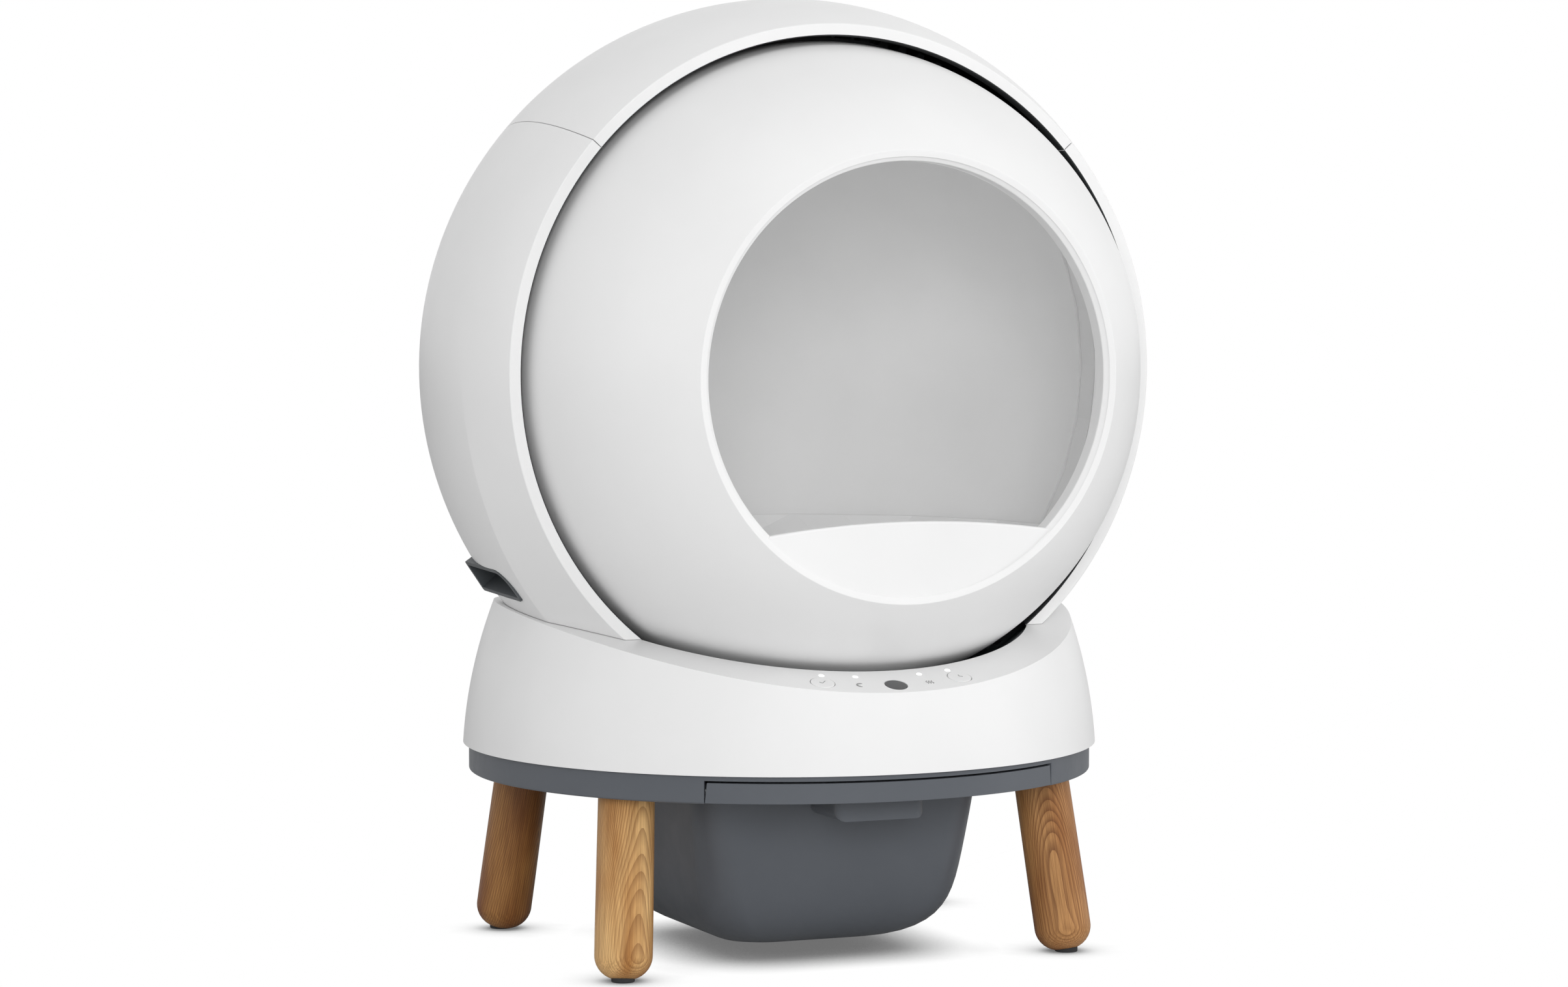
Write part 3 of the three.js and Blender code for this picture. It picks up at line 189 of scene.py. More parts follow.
def made_piece(name, shape, body, slot, finish, *stands_for):
    mesh = bpy.data.meshes.new(name)
    shape.to_mesh(mesh)
    shape.free()
    mesh.shade_smooth()
    mesh.set_sharp_from_angle(angle=math.radians(40))
    mesh.materials.append(finish)
    piece = bpy.data.objects.new(name, mesh)
    scene.collection.objects.link(piece)
    weighted = piece.modifiers.new("even normals", "WEIGHTED_NORMAL")
    weighted.keep_sharp = True
    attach(piece, body)
    if stands_for:
        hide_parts(*stands_for)
    return piece


def new_group(name, inputs, outputs):
    tree = bpy.data.node_groups.new(name, "ShaderNodeTree")
    for direction, sockets in (("INPUT", inputs), ("OUTPUT", outputs)):
        for label, kind in sockets.items():
            tree.interface.new_socket(label, in_out=direction, socket_type="NodeSocket" + kind)
    return tree, tree.nodes.new("NodeGroupInput"), tree.nodes.new("NodeGroupOutput")


def fed(tree, socket, value):
    """Links a socket to another node's output, or sets it to a plain value."""
    if isinstance(value, bpy.types.NodeSocket):
        tree.links.new(value, socket)
    else:
        socket.default_value = value


def noise_node(tree, vector, scale, detail=2.0, roughness=0.5):
    node = tree.nodes.new("ShaderNodeTexNoise")
    values = {"Vector": vector, "Scale": scale, "Detail": detail, "Roughness": roughness}
    for label, value in values.items():
        fed(tree, node.inputs[label], value)
    return node.outputs["Fac"]


def mixed_colour(tree, share, first, second, mode="MIX"):
    node = tree.nodes.new("ShaderNodeMix")
    node.data_type = "RGBA"
    node.blend_type = mode
    for index, value in ((0, share), (6, first), (7, second)):
        fed(tree, node.inputs[index], value)
    return node.outputs[2]


def ranged(tree, value, low, high, to_low, to_high):
    node = tree.nodes.new("ShaderNodeMapRange")
    fed(tree, node.inputs["Value"], value)
    for label, bound in (("From Min", low), ("From Max", high), ("To Min", to_low), ("To Max", to_high)):
        fed(tree, node.inputs[label], bound)
    return node.outputs["Result"]


def object_place(tree):
    return tree.nodes.new("ShaderNodeTexCoord").outputs["Object"]


def moulded_group():
    """Moulded plastic: a fine grain, faint flow clouds in the colour and hand marks in the gloss."""
    tree, given, out = new_group(
        "moulded plastic",
        {"Colour": "Color", "Cloud Colour": "Color", "Grain Scale": "Float", "Grain Height": "Float",
         "Gloss Low": "Float", "Gloss High": "Float"},
        {"Colour": "Color", "Roughness": "Float", "Normal": "Vector"},
    )
    cloud_scale, mark_scale = 9.0, 38.0
    place = object_place(tree)
    clouds = ranged(tree, noise_node(tree, place, cloud_scale, 3.0), 0.35, 0.65, 0.0, 1.0)
    colour = mixed_colour(tree, clouds, given.outputs["Colour"], given.outputs["Cloud Colour"])
    tree.links.new(colour, out.inputs["Colour"])
    marks = noise_node(tree, place, mark_scale, 4.0, 0.6)
    gloss = ranged(tree, marks, 0.3, 0.7, given.outputs["Gloss Low"], given.outputs["Gloss High"])
    tree.links.new(gloss, out.inputs["Roughness"])
    bump = tree.nodes.new("ShaderNodeBump")
    bump.inputs["Strength"].default_value = 0.5
    tree.links.new(given.outputs["Grain Height"], bump.inputs["Distance"])
    tree.links.new(noise_node(tree, place, given.outputs["Grain Scale"], 1.0), bump.inputs["Height"])
    tree.links.new(bump.outputs["Normal"], out.inputs["Normal"])
    return tree


moulded = moulded_group()


def new_finish(name):
    finish = bpy.data.materials.new(name)
    finish.use_nodes = True
    tree = finish.node_tree
    return finish, tree, tree.nodes["Principled BSDF"]


def tone(text):
    """A linear colour from the eight-bit code of a swatch."""
    parts = [int(text[i:i + 2], 16) / 255 for i in (1, 3, 5)]
    return (*[p / 12.92 if p <= 0.04045 else ((p + 0.055) / 1.055) ** 2.4 for p in parts], 1)


def placed_effect(tree, shader, group, values):
    """Places a shared effect in a finish, with the finish's own values, and feeds the shader from it."""
    effect = tree.nodes.new("ShaderNodeGroup")
    effect.node_tree = group
    for label, value in values.items():
        effect.inputs[label].default_value = value
    for label, use in (("Colour", "Base Color"), ("Roughness", "Roughness"), ("Normal", "Normal")):
        tree.links.new(effect.outputs[label], shader.inputs[use])
    return effect


def moulded_finish(name, colour, cloud, grain_scale, grain_height, gloss, specular=0.5, coat=0.0):
    finish, tree, shader = new_finish(name)
    placed_effect(tree, shader, moulded, {
        "Colour": tone(colour), "Cloud Colour": tone(cloud), "Grain Scale": grain_scale,
        "Grain Height": grain_height, "Gloss Low": gloss[0], "Gloss High": gloss[1],
    })
    shader.inputs["Specular IOR Level"].default_value = specular
    shader.inputs["Coat Weight"].default_value = coat
    return finish


blue_grey = moulded_finish("blue-grey grained plastic", "#5b5f65", "#575b61", 1400, 0.06 * mm, (0.4, 0.5))

# The ring and its floor, less the drawer's passage and the front's sector
inner = chassis_radius - chassis_wall
ring = spun(filleted([
    (inner, chassis_low.z, 0),
    (chassis_radius, chassis_low.z, 1.6 * mm),
    (chassis_radius, 163 * mm, 0),
    (241 * mm, 166 * mm, 0),
    (240.6 * mm, chassis_high.z, 0),
    (inner, chassis_high.z, 0),
]), "Z")
floor_plate = disc(chassis_radius - chassis_wall / 2, floor_bottom, floor_top, ring_steps)
reach = 2 * chassis_radius
passage = block((-passage_half_width, passage_front, 0), (passage_half_width, passage_rear, drawer_top))
sector_side, sector_ahead = reach * math.sin(drawer_half_angle), -reach * math.cos(drawer_half_angle)
sector = risen([(0, 0), (-sector_side, sector_ahead), (sector_side, sector_ahead)], 0, drawer_top)
body = combined(ring, [floor_plate], "UNION")
body = softened(cut(body, passage, sector), edge_round / 2, 2)
made_piece("chassis_ring", body, "base", "dark_plastic", blue_grey, "chassis")


# Legs: turned oak, oiled, with long grain along the leg, and round at the foot.
# Each screws on a steel stud in its top and stands on a thin rubber pad let into its foot.
leg_foot = Vector((186.2, 141.1, 0)) * mm
leg_lean = Vector((-12, -23.6, 140)) * mm
leg_lift = 1.4 * mm
leg_dome = 20 * mm
dome_round = 0.92 * leg_dome
leg_stub = 30 * mm
leg_floor_gap = 0.4 * mm
leg_radius = 22.2 * mm
leg_top_radius = 21.4 * mm
pad_radius = 9 * mm
pad_top = 4 * mm


def wood_group():
    """Oak sawn from a board: year rings about a pith beside the leg, pores along it, and a knot, all
    multiplied by a per-leg colour that is painted shade.
    """
    tree, given, out = new_group(
        "oiled oak",
        {"Vector": "Vector", "Knot Place": "Vector", "Tint": "Color"},
        {"Colour": "Color", "Roughness": "Float", "Normal": "Vector"},
    )
    nodes, links = tree.nodes, tree.links
    rings_per_metre, ring_sway = 620.0, 26 * mm
    pith_lean, pith_offset = 0.09, 30 * mm
    knot_radius, knot_push = 16 * mm, 10 * mm

    def maths(kind, first, second=None):
        node = nodes.new("ShaderNodeMath")
        node.operation = kind
        for index, value in enumerate((first, second)):
            if value is not None:
                fed(tree, node.inputs[index], value)
        return node.outputs[0]

    def stretched(vector, scale):
        node = nodes.new("ShaderNodeVectorMath")
        node.operation = "MULTIPLY"
        links.new(vector, node.inputs[0])
        node.inputs[1].default_value = scale
        return node.outputs[0]

    place = given.outputs["Vector"]
    away = nodes.new("ShaderNodeVectorMath")
    away.operation = "SUBTRACT"
    links.new(place, away.inputs[0])
    links.new(given.outputs["Knot Place"], away.inputs[1])
    knot_reach = nodes.new("ShaderNodeVectorMath")
    knot_reach.operation = "LENGTH"
    links.new(stretched(away.outputs[0], (1.0, 1.0, 0.45)), knot_reach.inputs[0])
    knot = ranged(tree, knot_reach.outputs["Value"], 0.0, knot_radius, 1.0, 0.0)

    sway = noise_node(tree, stretched(place, (9.0, 9.0, 4.5)), 1.0, 2.0)
    parts = nodes.new("ShaderNodeSeparateXYZ")
    links.new(place, parts.inputs[0])
    pith = maths("ADD", maths("MULTIPLY", parts.outputs["Z"], pith_lean), pith_offset)
    across = maths("ADD", parts.outputs["X"], pith)
    squares = maths("ADD", maths("POWER", across, 2.0), maths("POWER", parts.outputs["Y"], 2.0))
    swaying = maths("MULTIPLY", maths("SUBTRACT", sway, 0.5), ring_sway)
    swayed = maths("ADD", maths("SQRT", squares), swaying)
    swayed = maths("ADD", swayed, maths("MULTIPLY", knot, knot_push))
    years = maths("FRACT", maths("MULTIPLY", swayed, rings_per_metre))
    strength = ranged(tree, sway, 0.35, 0.6, 0.45, 1.0)
    late = maths("MULTIPLY", ranged(tree, years, 0.35, 1.0, 0.0, 1.0), strength)
    fine = noise_node(tree, stretched(place, (1100.0, 1100.0, 30.0)), 1.0, 3.0, 0.6)
    fibres = ranged(tree, fine, 0.35, 0.7, 0.0, 1.0)
    patches = noise_node(tree, stretched(place, (30.0, 30.0, 8.0)), 1.0, 2.0)

    patched = ranged(tree, patches, 0.38, 0.62, 0.0, 1.0)
    base = mixed_colour(tree, patched, tone("#f3c686"), tone("#bc8447"))
    base = mixed_colour(tree, maths("MULTIPLY", late, 0.72), base, tone("#7f4d20"))
    base = mixed_colour(tree, maths("MULTIPLY", fibres, 0.5), base, tone("#6d421b"))
    base = mixed_colour(tree, ranged(tree, knot, 0.55, 0.95, 0.0, 0.85), base, tone("#4f2f17"))
    # The per-leg colour darkens the oak as painted shade, for legs that stand in less light.
    base = mixed_colour(tree, 1.0, base, given.outputs["Tint"], "MULTIPLY")
    links.new(base, out.inputs["Colour"])
    links.new(ranged(tree, fine, 0.3, 0.7, 0.42, 0.6), out.inputs["Roughness"])
    bump = nodes.new("ShaderNodeBump")
    bump.inputs["Strength"].default_value = 0.6
    bump.inputs["Distance"].default_value = 0.12 * mm
    sunk = maths("ADD", maths("MULTIPLY", fibres, 0.7), late)
    links.new(maths("SUBTRACT", 1.0, sunk), bump.inputs["Height"])
    links.new(bump.outputs["Normal"], out.inputs["Normal"])
    return tree


oak_effect = wood_group()
black_rubber = moulded_finish("black rubber", "#3a3b3d", "#323335", 900, 0.12 * mm, (0.75, 0.9), 0.3)
# Each corner's last colour is painted shade multiplied into its oak: none on the front left leg, most on
# the rear left leg, which stands in shade under the ring.
corners = {
    "front_left": (-1, -1, (0.9, 12.0), (0.017, -0.012, 0.060), "#ffffff"),
    "front_right": (1, -1, (2.4, -7.0), (-0.02, 0.016, 0.035), "#d3c0b5"),
    "rear_left": (-1, 1, (4.0, 5.0), (0.019, -0.013, 0.093), "#b9a38a"),
    "rear_right": (1, 1, (5.3, -9.0), (-0.012, -0.02, 0.050), "#cfbca8"),
}
for name, (right, back, (grain_turn, grain_shift), knot_place, painted_leg_shade) in corners.items():
    foot = Vector((leg_foot.x * right, leg_foot.y * back, 0))
    lean = Vector((leg_lean.x * right, leg_lean.y * back, leg_lean.z))
    top = lean.length + leg_stub
    leg = spun(filleted([
        (0, leg_lift, 0),
        (leg_radius, leg_lift, dome_round),
        (leg_radius, leg_lift + 2 * leg_dome, 0),
        (leg_top_radius, top, 0),
        (0, top, 0),
    ], 10), "Z", 64, closed=False)
    leaning = lean.to_track_quat("Z", "Y").to_matrix().to_4x4()
    bmesh.ops.transform(leg, matrix=Matrix.Translation(foot) @ leaning, verts=leg.verts)
    bmesh.ops.bisect_plane(leg, geom=leg.verts[:] + leg.edges[:] + leg.faces[:], clear_outer=True,
                           plane_co=(0, 0, floor_bottom - leg_floor_gap), plane_no=(0, 0, 1))
    bmesh.ops.holes_fill(leg, edges=[e for e in leg.edges if e.is_boundary])
    oak, tree, shader = new_finish("oiled oak " + name)
    spot = tree.nodes.new("ShaderNodeMapping")
    spot.vector_type = "TEXTURE"
    spot.inputs["Location"].default_value = foot
    spot.inputs["Rotation"].default_value = leaning.to_euler()
    about = tree.nodes.new("ShaderNodeMapping")
    about.inputs["Rotation"].default_value = (0, 0, grain_turn)
    about.inputs["Location"].default_value = (0, 0, grain_shift)
    tree.links.new(object_place(tree), spot.inputs["Vector"])
    tree.links.new(spot.outputs["Vector"], about.inputs["Vector"])
    knot_point = Matrix.Rotation(grain_turn, 3, "Z") @ Vector(knot_place) + Vector((0, 0, grain_shift))
    effect = placed_effect(tree, shader, oak_effect, {"Knot Place": knot_point, "Tint": tone(painted_leg_shade)})
    tree.links.new(about.outputs["Vector"], effect.inputs["Vector"])
    made_piece("wooden_leg_" + name, leg, "base", "oak", oak, "leg_" + name)
    pad_edge = [(0, 0, 0), (pad_radius, 0, 0.8 * mm), (pad_radius, pad_top, 0), (0, pad_top, 0)]
    pad = spun(filleted(pad_edge), "Z", 48, closed=False)
    bmesh.ops.translate(pad, vec=foot, verts=pad.verts)
    made_piece("rubber_pad_" + name, pad, "base", "rubber", black_rubber, "foot_pad_" + name)


# Waste drawer: a deep tub whose flange slides on two steel rails, behind a curved front.
# The tub is blown in the same blue-grey plastic, and a grip under the front pulls it out.
tub_half_width = 121.2 * mm
tub_front, tub_rear = -136 * mm, 120 * mm
tub_bottom = 10.6 * mm
tub_wall = 2.6 * mm
tub_corner = 28 * mm
tub_lean, lean_power = 20 * mm, 1.15
round_share, round_depth, round_power = 0.64, 49 * mm, 5
tub_steps = 10
tub_levels = [1, 0.86, 0.72, 0.6, 0.5, 0.42, 0.35, 0.29, 0.235, 0.185, 0.14, 0.1, 0.067, 0.04, 0.02,
              0.007, 0.0015, 0]
flange_bottom, flange_top = 149.6 * mm, 152.6 * mm
flange_half_width = 139 * mm
front_wall = 4.4 * mm
front_bottom, front_top = 140.6 * mm, 156 * mm
grip_half_width = 37 * mm
grip_front, grip_rear = -203 * mm, -152 * mm
grip_bottom = 121 * mm
grip_wall = 4 * mm
grip_middle, grip_overrun, profile_reach = -180 * mm, 10 * mm, 100 * mm
drawer_gap = 0.4 * mm


def thickened(shape, wall):
    return modified(shape, "SOLIDIFY", thickness=wall, offset=-1, use_even_offset=True)


def finished_node(name, finish):
    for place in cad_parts[name].material_slots:
        place.material = finish


def rounded_rectangle(x0, x1, y0, y1, radii, steps=8):
    """A rectangle's outline, whose corners are rounded from the lower left one round to the upper left."""
    points = []
    corner_places = [(x0, y0, 1, 1), (x1, y0, -1, 1), (x1, y1, -1, -1), (x0, y1, 1, -1)]
    for quarter, ((x, y, right, up), radius) in enumerate(zip(corner_places, radii)):
        for i in range(steps + 1):
            turn = math.pi * (1 + (quarter + i / steps) / 2)
            points.append((x + radius * (right + math.cos(turn)), y + radius * (up + math.sin(turn))))
    return points


def tub_inset(share):
    """How far the side lies inside the mouth, at a share of the tub's height."""
    inset = tub_lean * (1 - share) ** lean_power
    if share < round_share:
        inset += round_depth * (1 - math.sqrt(1 - (1 - share / round_share) ** round_power))
    return inset


def tub_skin():
    shape = bmesh.new()
    loops = []
    depth = flange_bottom - tub_bottom
    for share in tub_levels:
        inset = tub_inset(share)
        outline = rounded_rectangle(-tub_half_width + inset, tub_half_width - inset, tub_front + inset,
                                    tub_rear - inset, [tub_corner] * 4, tub_steps)
        ring = [shape.verts.new((x, y, tub_bottom + depth * share)) for x, y in outline]
        edges = [shape.edges.new((a, b)) for a, b in zip(ring, ring[1:] + ring[:1])]
        if loops:
            bmesh.ops.bridge_loops(shape, edges=loops[-1] + edges)
        loops.append(edges)
    bmesh.ops.edgeloop_fill(shape, edges=loops[-1])
    return tidy(shape)


tub = thickened(tub_skin(), tub_wall)
plate_radius = chassis_radius - front_wall - drawer_gap
flange = disc(plate_radius, flange_bottom, flange_top, ring_steps)
zone = block((-flange_half_width, -reach, 0), (flange_half_width, tub_rear + 4 * mm, 1))
mouth_half_width = tub_half_width - tub_wall
mouth_outline = rounded_rectangle(-mouth_half_width, mouth_half_width, tub_front + tub_wall,
                                  tub_rear - tub_wall, [tub_corner - tub_wall] * 4, tub_steps)
mouth = risen(mouth_outline, tub_bottom, 2 * flange_top)
flange = softened(cut(combined(flange, [zone], "INTERSECT"), mouth), edge_round, 2)
made_piece("waste_tub_body", tub, "drawer", "dark_plastic", blue_grey, "waste_tub")
made_piece("waste_tub_flange", flange, "drawer", "dark_plastic", blue_grey)

# The face is a sector of the ring, whose upper corners at the ends are turned in a little
face_gap, end_slant = 0.5 * mm / chassis_radius, 1.5 * mm / chassis_radius
face = spun([(chassis_radius - front_wall, front_bottom), (chassis_radius, front_bottom),
             (chassis_radius, front_top), (chassis_radius - front_wall, front_top)],
            "Z", 60, -drawer_half_angle + face_gap, 2 * (drawer_half_angle - face_gap))
bmesh.ops.holes_fill(face, edges=[e for e in face.edges if e.is_boundary])
for vert in face.verts:
    end = math.atan2(vert.co.x, -vert.co.y)
    if abs(end) > drawer_half_angle - 2 * face_gap and vert.co.z > front_bottom + 1 * mm:
        vert.co.rotate(Matrix.Rotation(-math.copysign(end_slant, end), 3, "Z"))
face = softened(tidy(face), edge_round / 2, 2)
made_piece("drawer_face", face, "drawer", "dark_plastic", blue_grey, "drawer_front")

# The grip is a hollow lug, cut to one rounded outline from above and to another from the front
grip_radii = [9 * mm, 9 * mm, 1 * mm, 1 * mm]
grip_top = flange_bottom - drawer_gap
grip = risen(rounded_rectangle(-grip_half_width, grip_half_width, grip_front, grip_rear, grip_radii),
             grip_bottom, grip_top)
hollow = risen(rounded_rectangle(-grip_half_width + grip_wall, grip_half_width - grip_wall,
                                 grip_front + grip_wall, grip_rear - grip_wall, [grip_wall] * 4),
               grip_bottom - grip_overrun, grip_top - grip_wall)
grip_profile = rounded_rectangle(-grip_half_width, grip_half_width, grip_bottom, grip_top,
                                 [8 * mm, 8 * mm, 0.5 * mm, 0.5 * mm])
profile = risen(grip_profile, -profile_reach, profile_reach)
to_front = Matrix.Translation((0, grip_middle, 0)) @ Matrix.Rotation(math.pi / 2, 4, "X")
bmesh.ops.transform(profile, matrix=to_front, verts=profile.verts)
grip = softened(cut(combined(grip, [profile], "INTERSECT"), hollow), edge_round)
made_piece("drawer_grip_lug", grip, "drawer", "dark_plastic", blue_grey, "drawer_grip")
finished_node("bag_frame", blue_grey)


# Hidden works: the cradle under the drum, its rollers and axles, and the geared motor.
# The cradle is black glass-filled plastic, and the metal is zinc-plated or turned bright steel.
black_grained = moulded_finish("black grained plastic", "#45494c", "#4b4f52", 1100, 0.1 * mm, (0.45, 0.6))


def metal_finish(name, colour, worn, gloss):
    finish, tree, shader = new_finish(name)
    place = object_place(tree)
    patches = ranged(tree, noise_node(tree, place, 60.0, 4.0), 0.35, 0.7, 0, 1)
    tree.links.new(mixed_colour(tree, patches, tone(colour), tone(worn)), shader.inputs["Base Color"])
    streaks = noise_node(tree, place, 420.0, 2.0)
    tree.links.new(ranged(tree, streaks, 0.3, 0.7, *gloss), shader.inputs["Roughness"])
    shader.inputs["Metallic"].default_value = 1
    return finish


plated_steel = metal_finish("zinc-plated steel", "#b4b8bb", "#8f9498", (0.28, 0.42))
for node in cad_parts:
    if node.startswith(("leg_stud", "base_screw", "axle", "drawer_rail", "motor", "drive_pinion")):
        finished_node(node, plated_steel)
    if node.startswith("roller"):
        finished_node(node, black_rubber)
for node in ("cradle", "gearbox"):
    finished_node(node, black_grained)


# Base shell: one white moulding, a skirt that leans in and a lip scooped to the front.
# The skirt's upper edge is where the lip's curve, level from side to side, cuts it.
axis_height = (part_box("ring_gear")[0].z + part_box("ring_gear")[1].z) / 2
skirt_foot = Vector((251.5, 161.6)) * mm
skirt_belly = Vector((248, 217.8)) * mm
skirt_top = Vector((226.8, 274)) * mm
shell_wall = 4 * mm
lip_arc = 893 * mm
lip_crest_y = 57.5 * mm
lip_crest = 274 * mm
lip_gap = 8 * mm
band_y = -118 * mm
blend_length = 20 * mm
casing_inset = 4.8 * mm
drum_egg = {"radius": 255 * mm, "centre": -71 * mm, "front": 250 * mm, "rear": 272 * mm}
casing_egg = {"radius": 290 * mm, "centre": -10 * mm, "front": 275.5 * mm, "rear": 269 * mm}
side_rows, deck_rows, base_steps = 12, 8, 288

white_satin = moulded_finish("white satin plastic", "#efefef", "#ececec", 1800, 0.035 * mm, (0.34, 0.42))


def egg_radius(egg, y):
    depth = egg["front"] if y < egg["centre"] else egg["rear"]
    return egg["radius"] * math.sqrt(max(0, 1 - ((y - egg["centre"]) / depth) ** 2))


def lip_height(y):
    return lip_crest - lip_arc + math.sqrt(lip_arc ** 2 - (y - lip_crest_y) ** 2)


def skirt_point(share):
    return (1 - share) ** 2 * skirt_foot + 2 * share * (1 - share) * skirt_belly + share ** 2 * skirt_top


def halved(test, low, high):
    """The place between low and high where the test stops being true."""
    for _ in range(40):
        middle = (low + high) / 2
        low, high = (middle, high) if test(middle) else (low, middle)
    return low


def in_opening(radius, side, ahead):
    """Whether a place on the lip lies in the opening for the drum in front and the casing behind."""
    x, y = radius * side, -radius * ahead
    blend = min(1, max(0, (y - band_y) / blend_length))
    drum_room = egg_radius(drum_egg, y) + lip_gap
    casing_room = egg_radius(casing_egg, y) - casing_inset
    room = drum_room * (1 - blend) + casing_room * blend
    return x * x + (axis_height - lip_height(y)) ** 2 < room ** 2


def facing_out(shape, centre):
    if sum(f.normal.dot(f.calc_center_median() - centre) * f.calc_area() for f in shape.faces) < 0:
        bmesh.ops.reverse_faces(shape, faces=shape.faces)
    return shape


def base_skin():
    """Rings of corners are spun about Z, and each is then set at its row's place on the moulding."""
    last = side_rows + deck_rows
    smallest_room = 100 * mm
    shape = spun([(1 + row, 0) for row in range(last + 1)], "Z", base_steps, closed=False)
    columns = {}
    for vert in shape.verts:
        row = round(Vector(vert.co[:2]).length) - 1
        side, ahead = vert.co.x / (row + 1), -vert.co.y / (row + 1)
        key = round(math.atan2(side, ahead), 5)
        if key not in columns:
            edge = halved(lambda s: skirt_point(s).y < lip_height(-skirt_point(s).x * ahead), 0, 1)
            columns[key] = (edge, halved(lambda r: in_opening(r, side, ahead), smallest_room, skirt_foot.x))
        edge, opening = columns[key]
        if row <= side_rows:
            radius, height = skirt_point(edge * row / side_rows)
        else:
            rim = skirt_point(edge).x
            radius = rim + (opening - rim) * (row - side_rows) / deck_rows
            height = lip_height(-radius * ahead)
        vert.co = (radius * side, -radius * ahead, height)
    return tidy(shape)


shell = thickened(facing_out(base_skin(), Vector((0, 0, 0))), shell_wall)


# Controls: two round buttons, a smoked sensor window, four lamps and two small raised signs.
# They sit flush in the lip, and the buttons are snapped in from below with a fine gap round them.
control_y = -221 * mm
button_x = 56.3 * mm
button_radius = 9.15 * mm
button_gap = 0.55 * mm
sensor_y = -229.7 * mm
sensor_radius = 8.75 * mm
lens_radius = 2.1 * mm
lens_places = [(-52 * mm, -208.5 * mm), (-26.3 * mm, -213.2 * mm),
               (26.3 * mm, -213.2 * mm), (52 * mm, -208.5 * mm)]
hole_top, hole_bottom, window_seat = 4 * mm, -8 * mm, -2.6 * mm
cap_foot, cap_top = -3.4 * mm, 0.5 * mm


def lip_frame(x, y):
    lean = math.asin((lip_crest_y - y) / lip_arc)
    return Matrix.Translation((x, y, lip_height(y))) @ Matrix.Rotation(lean, 4, "X")


def on_lip(shape, x, y):
    bmesh.ops.transform(shape, matrix=lip_frame(x, y), verts=shape.verts)
    return shape


def on_upper_edge(place):
    return Vector(place[:2]).length > skirt_top.x - 8 * mm and place.z > skirt_foot.y + 18 * mm


holes = []
for side in (-1, 1):
    hole = disc(button_radius + button_gap, hole_bottom, hole_top, 64)
    holes.append(on_lip(hole, side * button_x, control_y))
holes.append(on_lip(disc(sensor_radius + 0.25 * mm, window_seat, hole_top, 64), 0, sensor_y))
for x, y in lens_places:
    holes.append(on_lip(disc(lens_radius + 0.15 * mm, hole_bottom, hole_top, 32), x, y))
shell = softened(cut(shell, *holes), 1.6 * mm, 4, on_upper_edge)
made_piece("base_moulding", shell, "base", "white_shell", white_satin, "base_shell")

for name, side in (("button_left", -1), ("button_right", 1)):
    cap = spun(filleted([
        (0, cap_foot, 0),
        (button_radius, cap_foot, 0),
        (button_radius, 0.35 * mm, 0.5 * mm),
        (button_radius * 0.5, cap_top, 4 * mm),
        (0, cap_top, 0),
    ]), "Z", 64, closed=False)
    on_lip(cap, side * button_x, control_y)
    made_piece(name + "_cap", cap, name, "white_shell", white_satin, name)


def raised_line(places, width, height):
    """A narrow raised stroke along (x, y) places, for a sign that is moulded into the plastic."""
    sunk = 0.2 * mm
    shape = bmesh.new()
    rails = []
    for side in (-1, 1):
        row = []
        for i, place in enumerate(places):
            before, after = places[max(i - 1, 0)], places[min(i + 1, len(places) - 1)]
            along = (Vector(after) - Vector(before)).normalized()
            across = Vector((-along.y, along.x)) * side * width / 2
            row.append(shape.verts.new((place[0] + across.x, place[1] + across.y, -sunk)))
        rails += [shape.edges.new(pair) for pair in zip(row, row[1:])]
    strip = bmesh.ops.bridge_loops(shape, edges=rails)["faces"]
    bmesh.ops.translate(shape, vec=(0, 0, height + sunk), verts=lid_over(shape, strip))
    return tidy(shape)


def arc_places(radius, start, end, steps=10):
    turns = [math.radians(start + (end - start) * i / steps) for i in range(steps + 1)]
    return [(radius * math.cos(turn), radius * math.sin(turn)) for turn in turns]


# The raised strokes are the lip's own white plastic; their grey is painted shade, standing in for the fine
# shadows along the relief.
sign_painted_shade = moulded_finish("moulded sign in painted shade", "#9b9b9b", "#959595", 1800, 0.03 * mm, (0.4, 0.5))
stroke_width, stroke_height = 0.55 * mm, 0.28 * mm
sign_x, sign_y, cap_lift = 28.5 * mm, -227.8 * mm, 0.45 * mm
wave = [(0.7 * mm * math.sin(i * 0.9), (i - 4) * 0.62 * mm) for i in range(9)]
heat_sign = [[(x + shift * 2.1 * mm, y) for x, y in wave] for shift in (-1, 0, 1)]
moon_sign = [arc_places(2.9 * mm, 40, 280), arc_places(2.1 * mm, 62, 258)]
tick = [(-2.6 * mm, 0.2 * mm), (-0.7 * mm, -1.7 * mm), (2.8 * mm, 1.9 * mm)]
hands = [(-0.1 * mm, 2.7 * mm), (0, 0), (2.4 * mm, -0.9 * mm)]
for name, strokes, x, y, body, lift in (
    ("heat_sign", heat_sign, sign_x, sign_y, "base", 0),
    ("moon_sign", moon_sign, -sign_x, sign_y, "base", 0),
    ("tick_mark", [tick], -button_x, control_y, "button_left", cap_lift),
    ("clock_mark", [hands], button_x, control_y, "button_right", cap_lift),
):
    for number, stroke in enumerate(strokes, 1):
        line = raised_line(stroke, stroke_width, stroke_height)
        bmesh.ops.translate(line, vec=(0, 0, lift), verts=line.verts)
        made_piece(f"{name}_{number}", on_lip(line, x, y), body, "white_shell", sign_painted_shade)

smoked = moulded_finish("smoked window", "#16181a", "#191b1d", 300, 0.0, (0.08, 0.14), 0.5, 0.5)
window = spun(filleted([
    (0, -2.2 * mm, 0),
    (sensor_radius, -2.2 * mm, 0),
    (sensor_radius, -0.2 * mm, 0.4 * mm),
    (0, 0, 0),
]), "Z", 64, closed=False)
made_piece("sensor_disc", on_lip(window, 0, sensor_y), "base", "dark_window", smoked, "sensor_window")

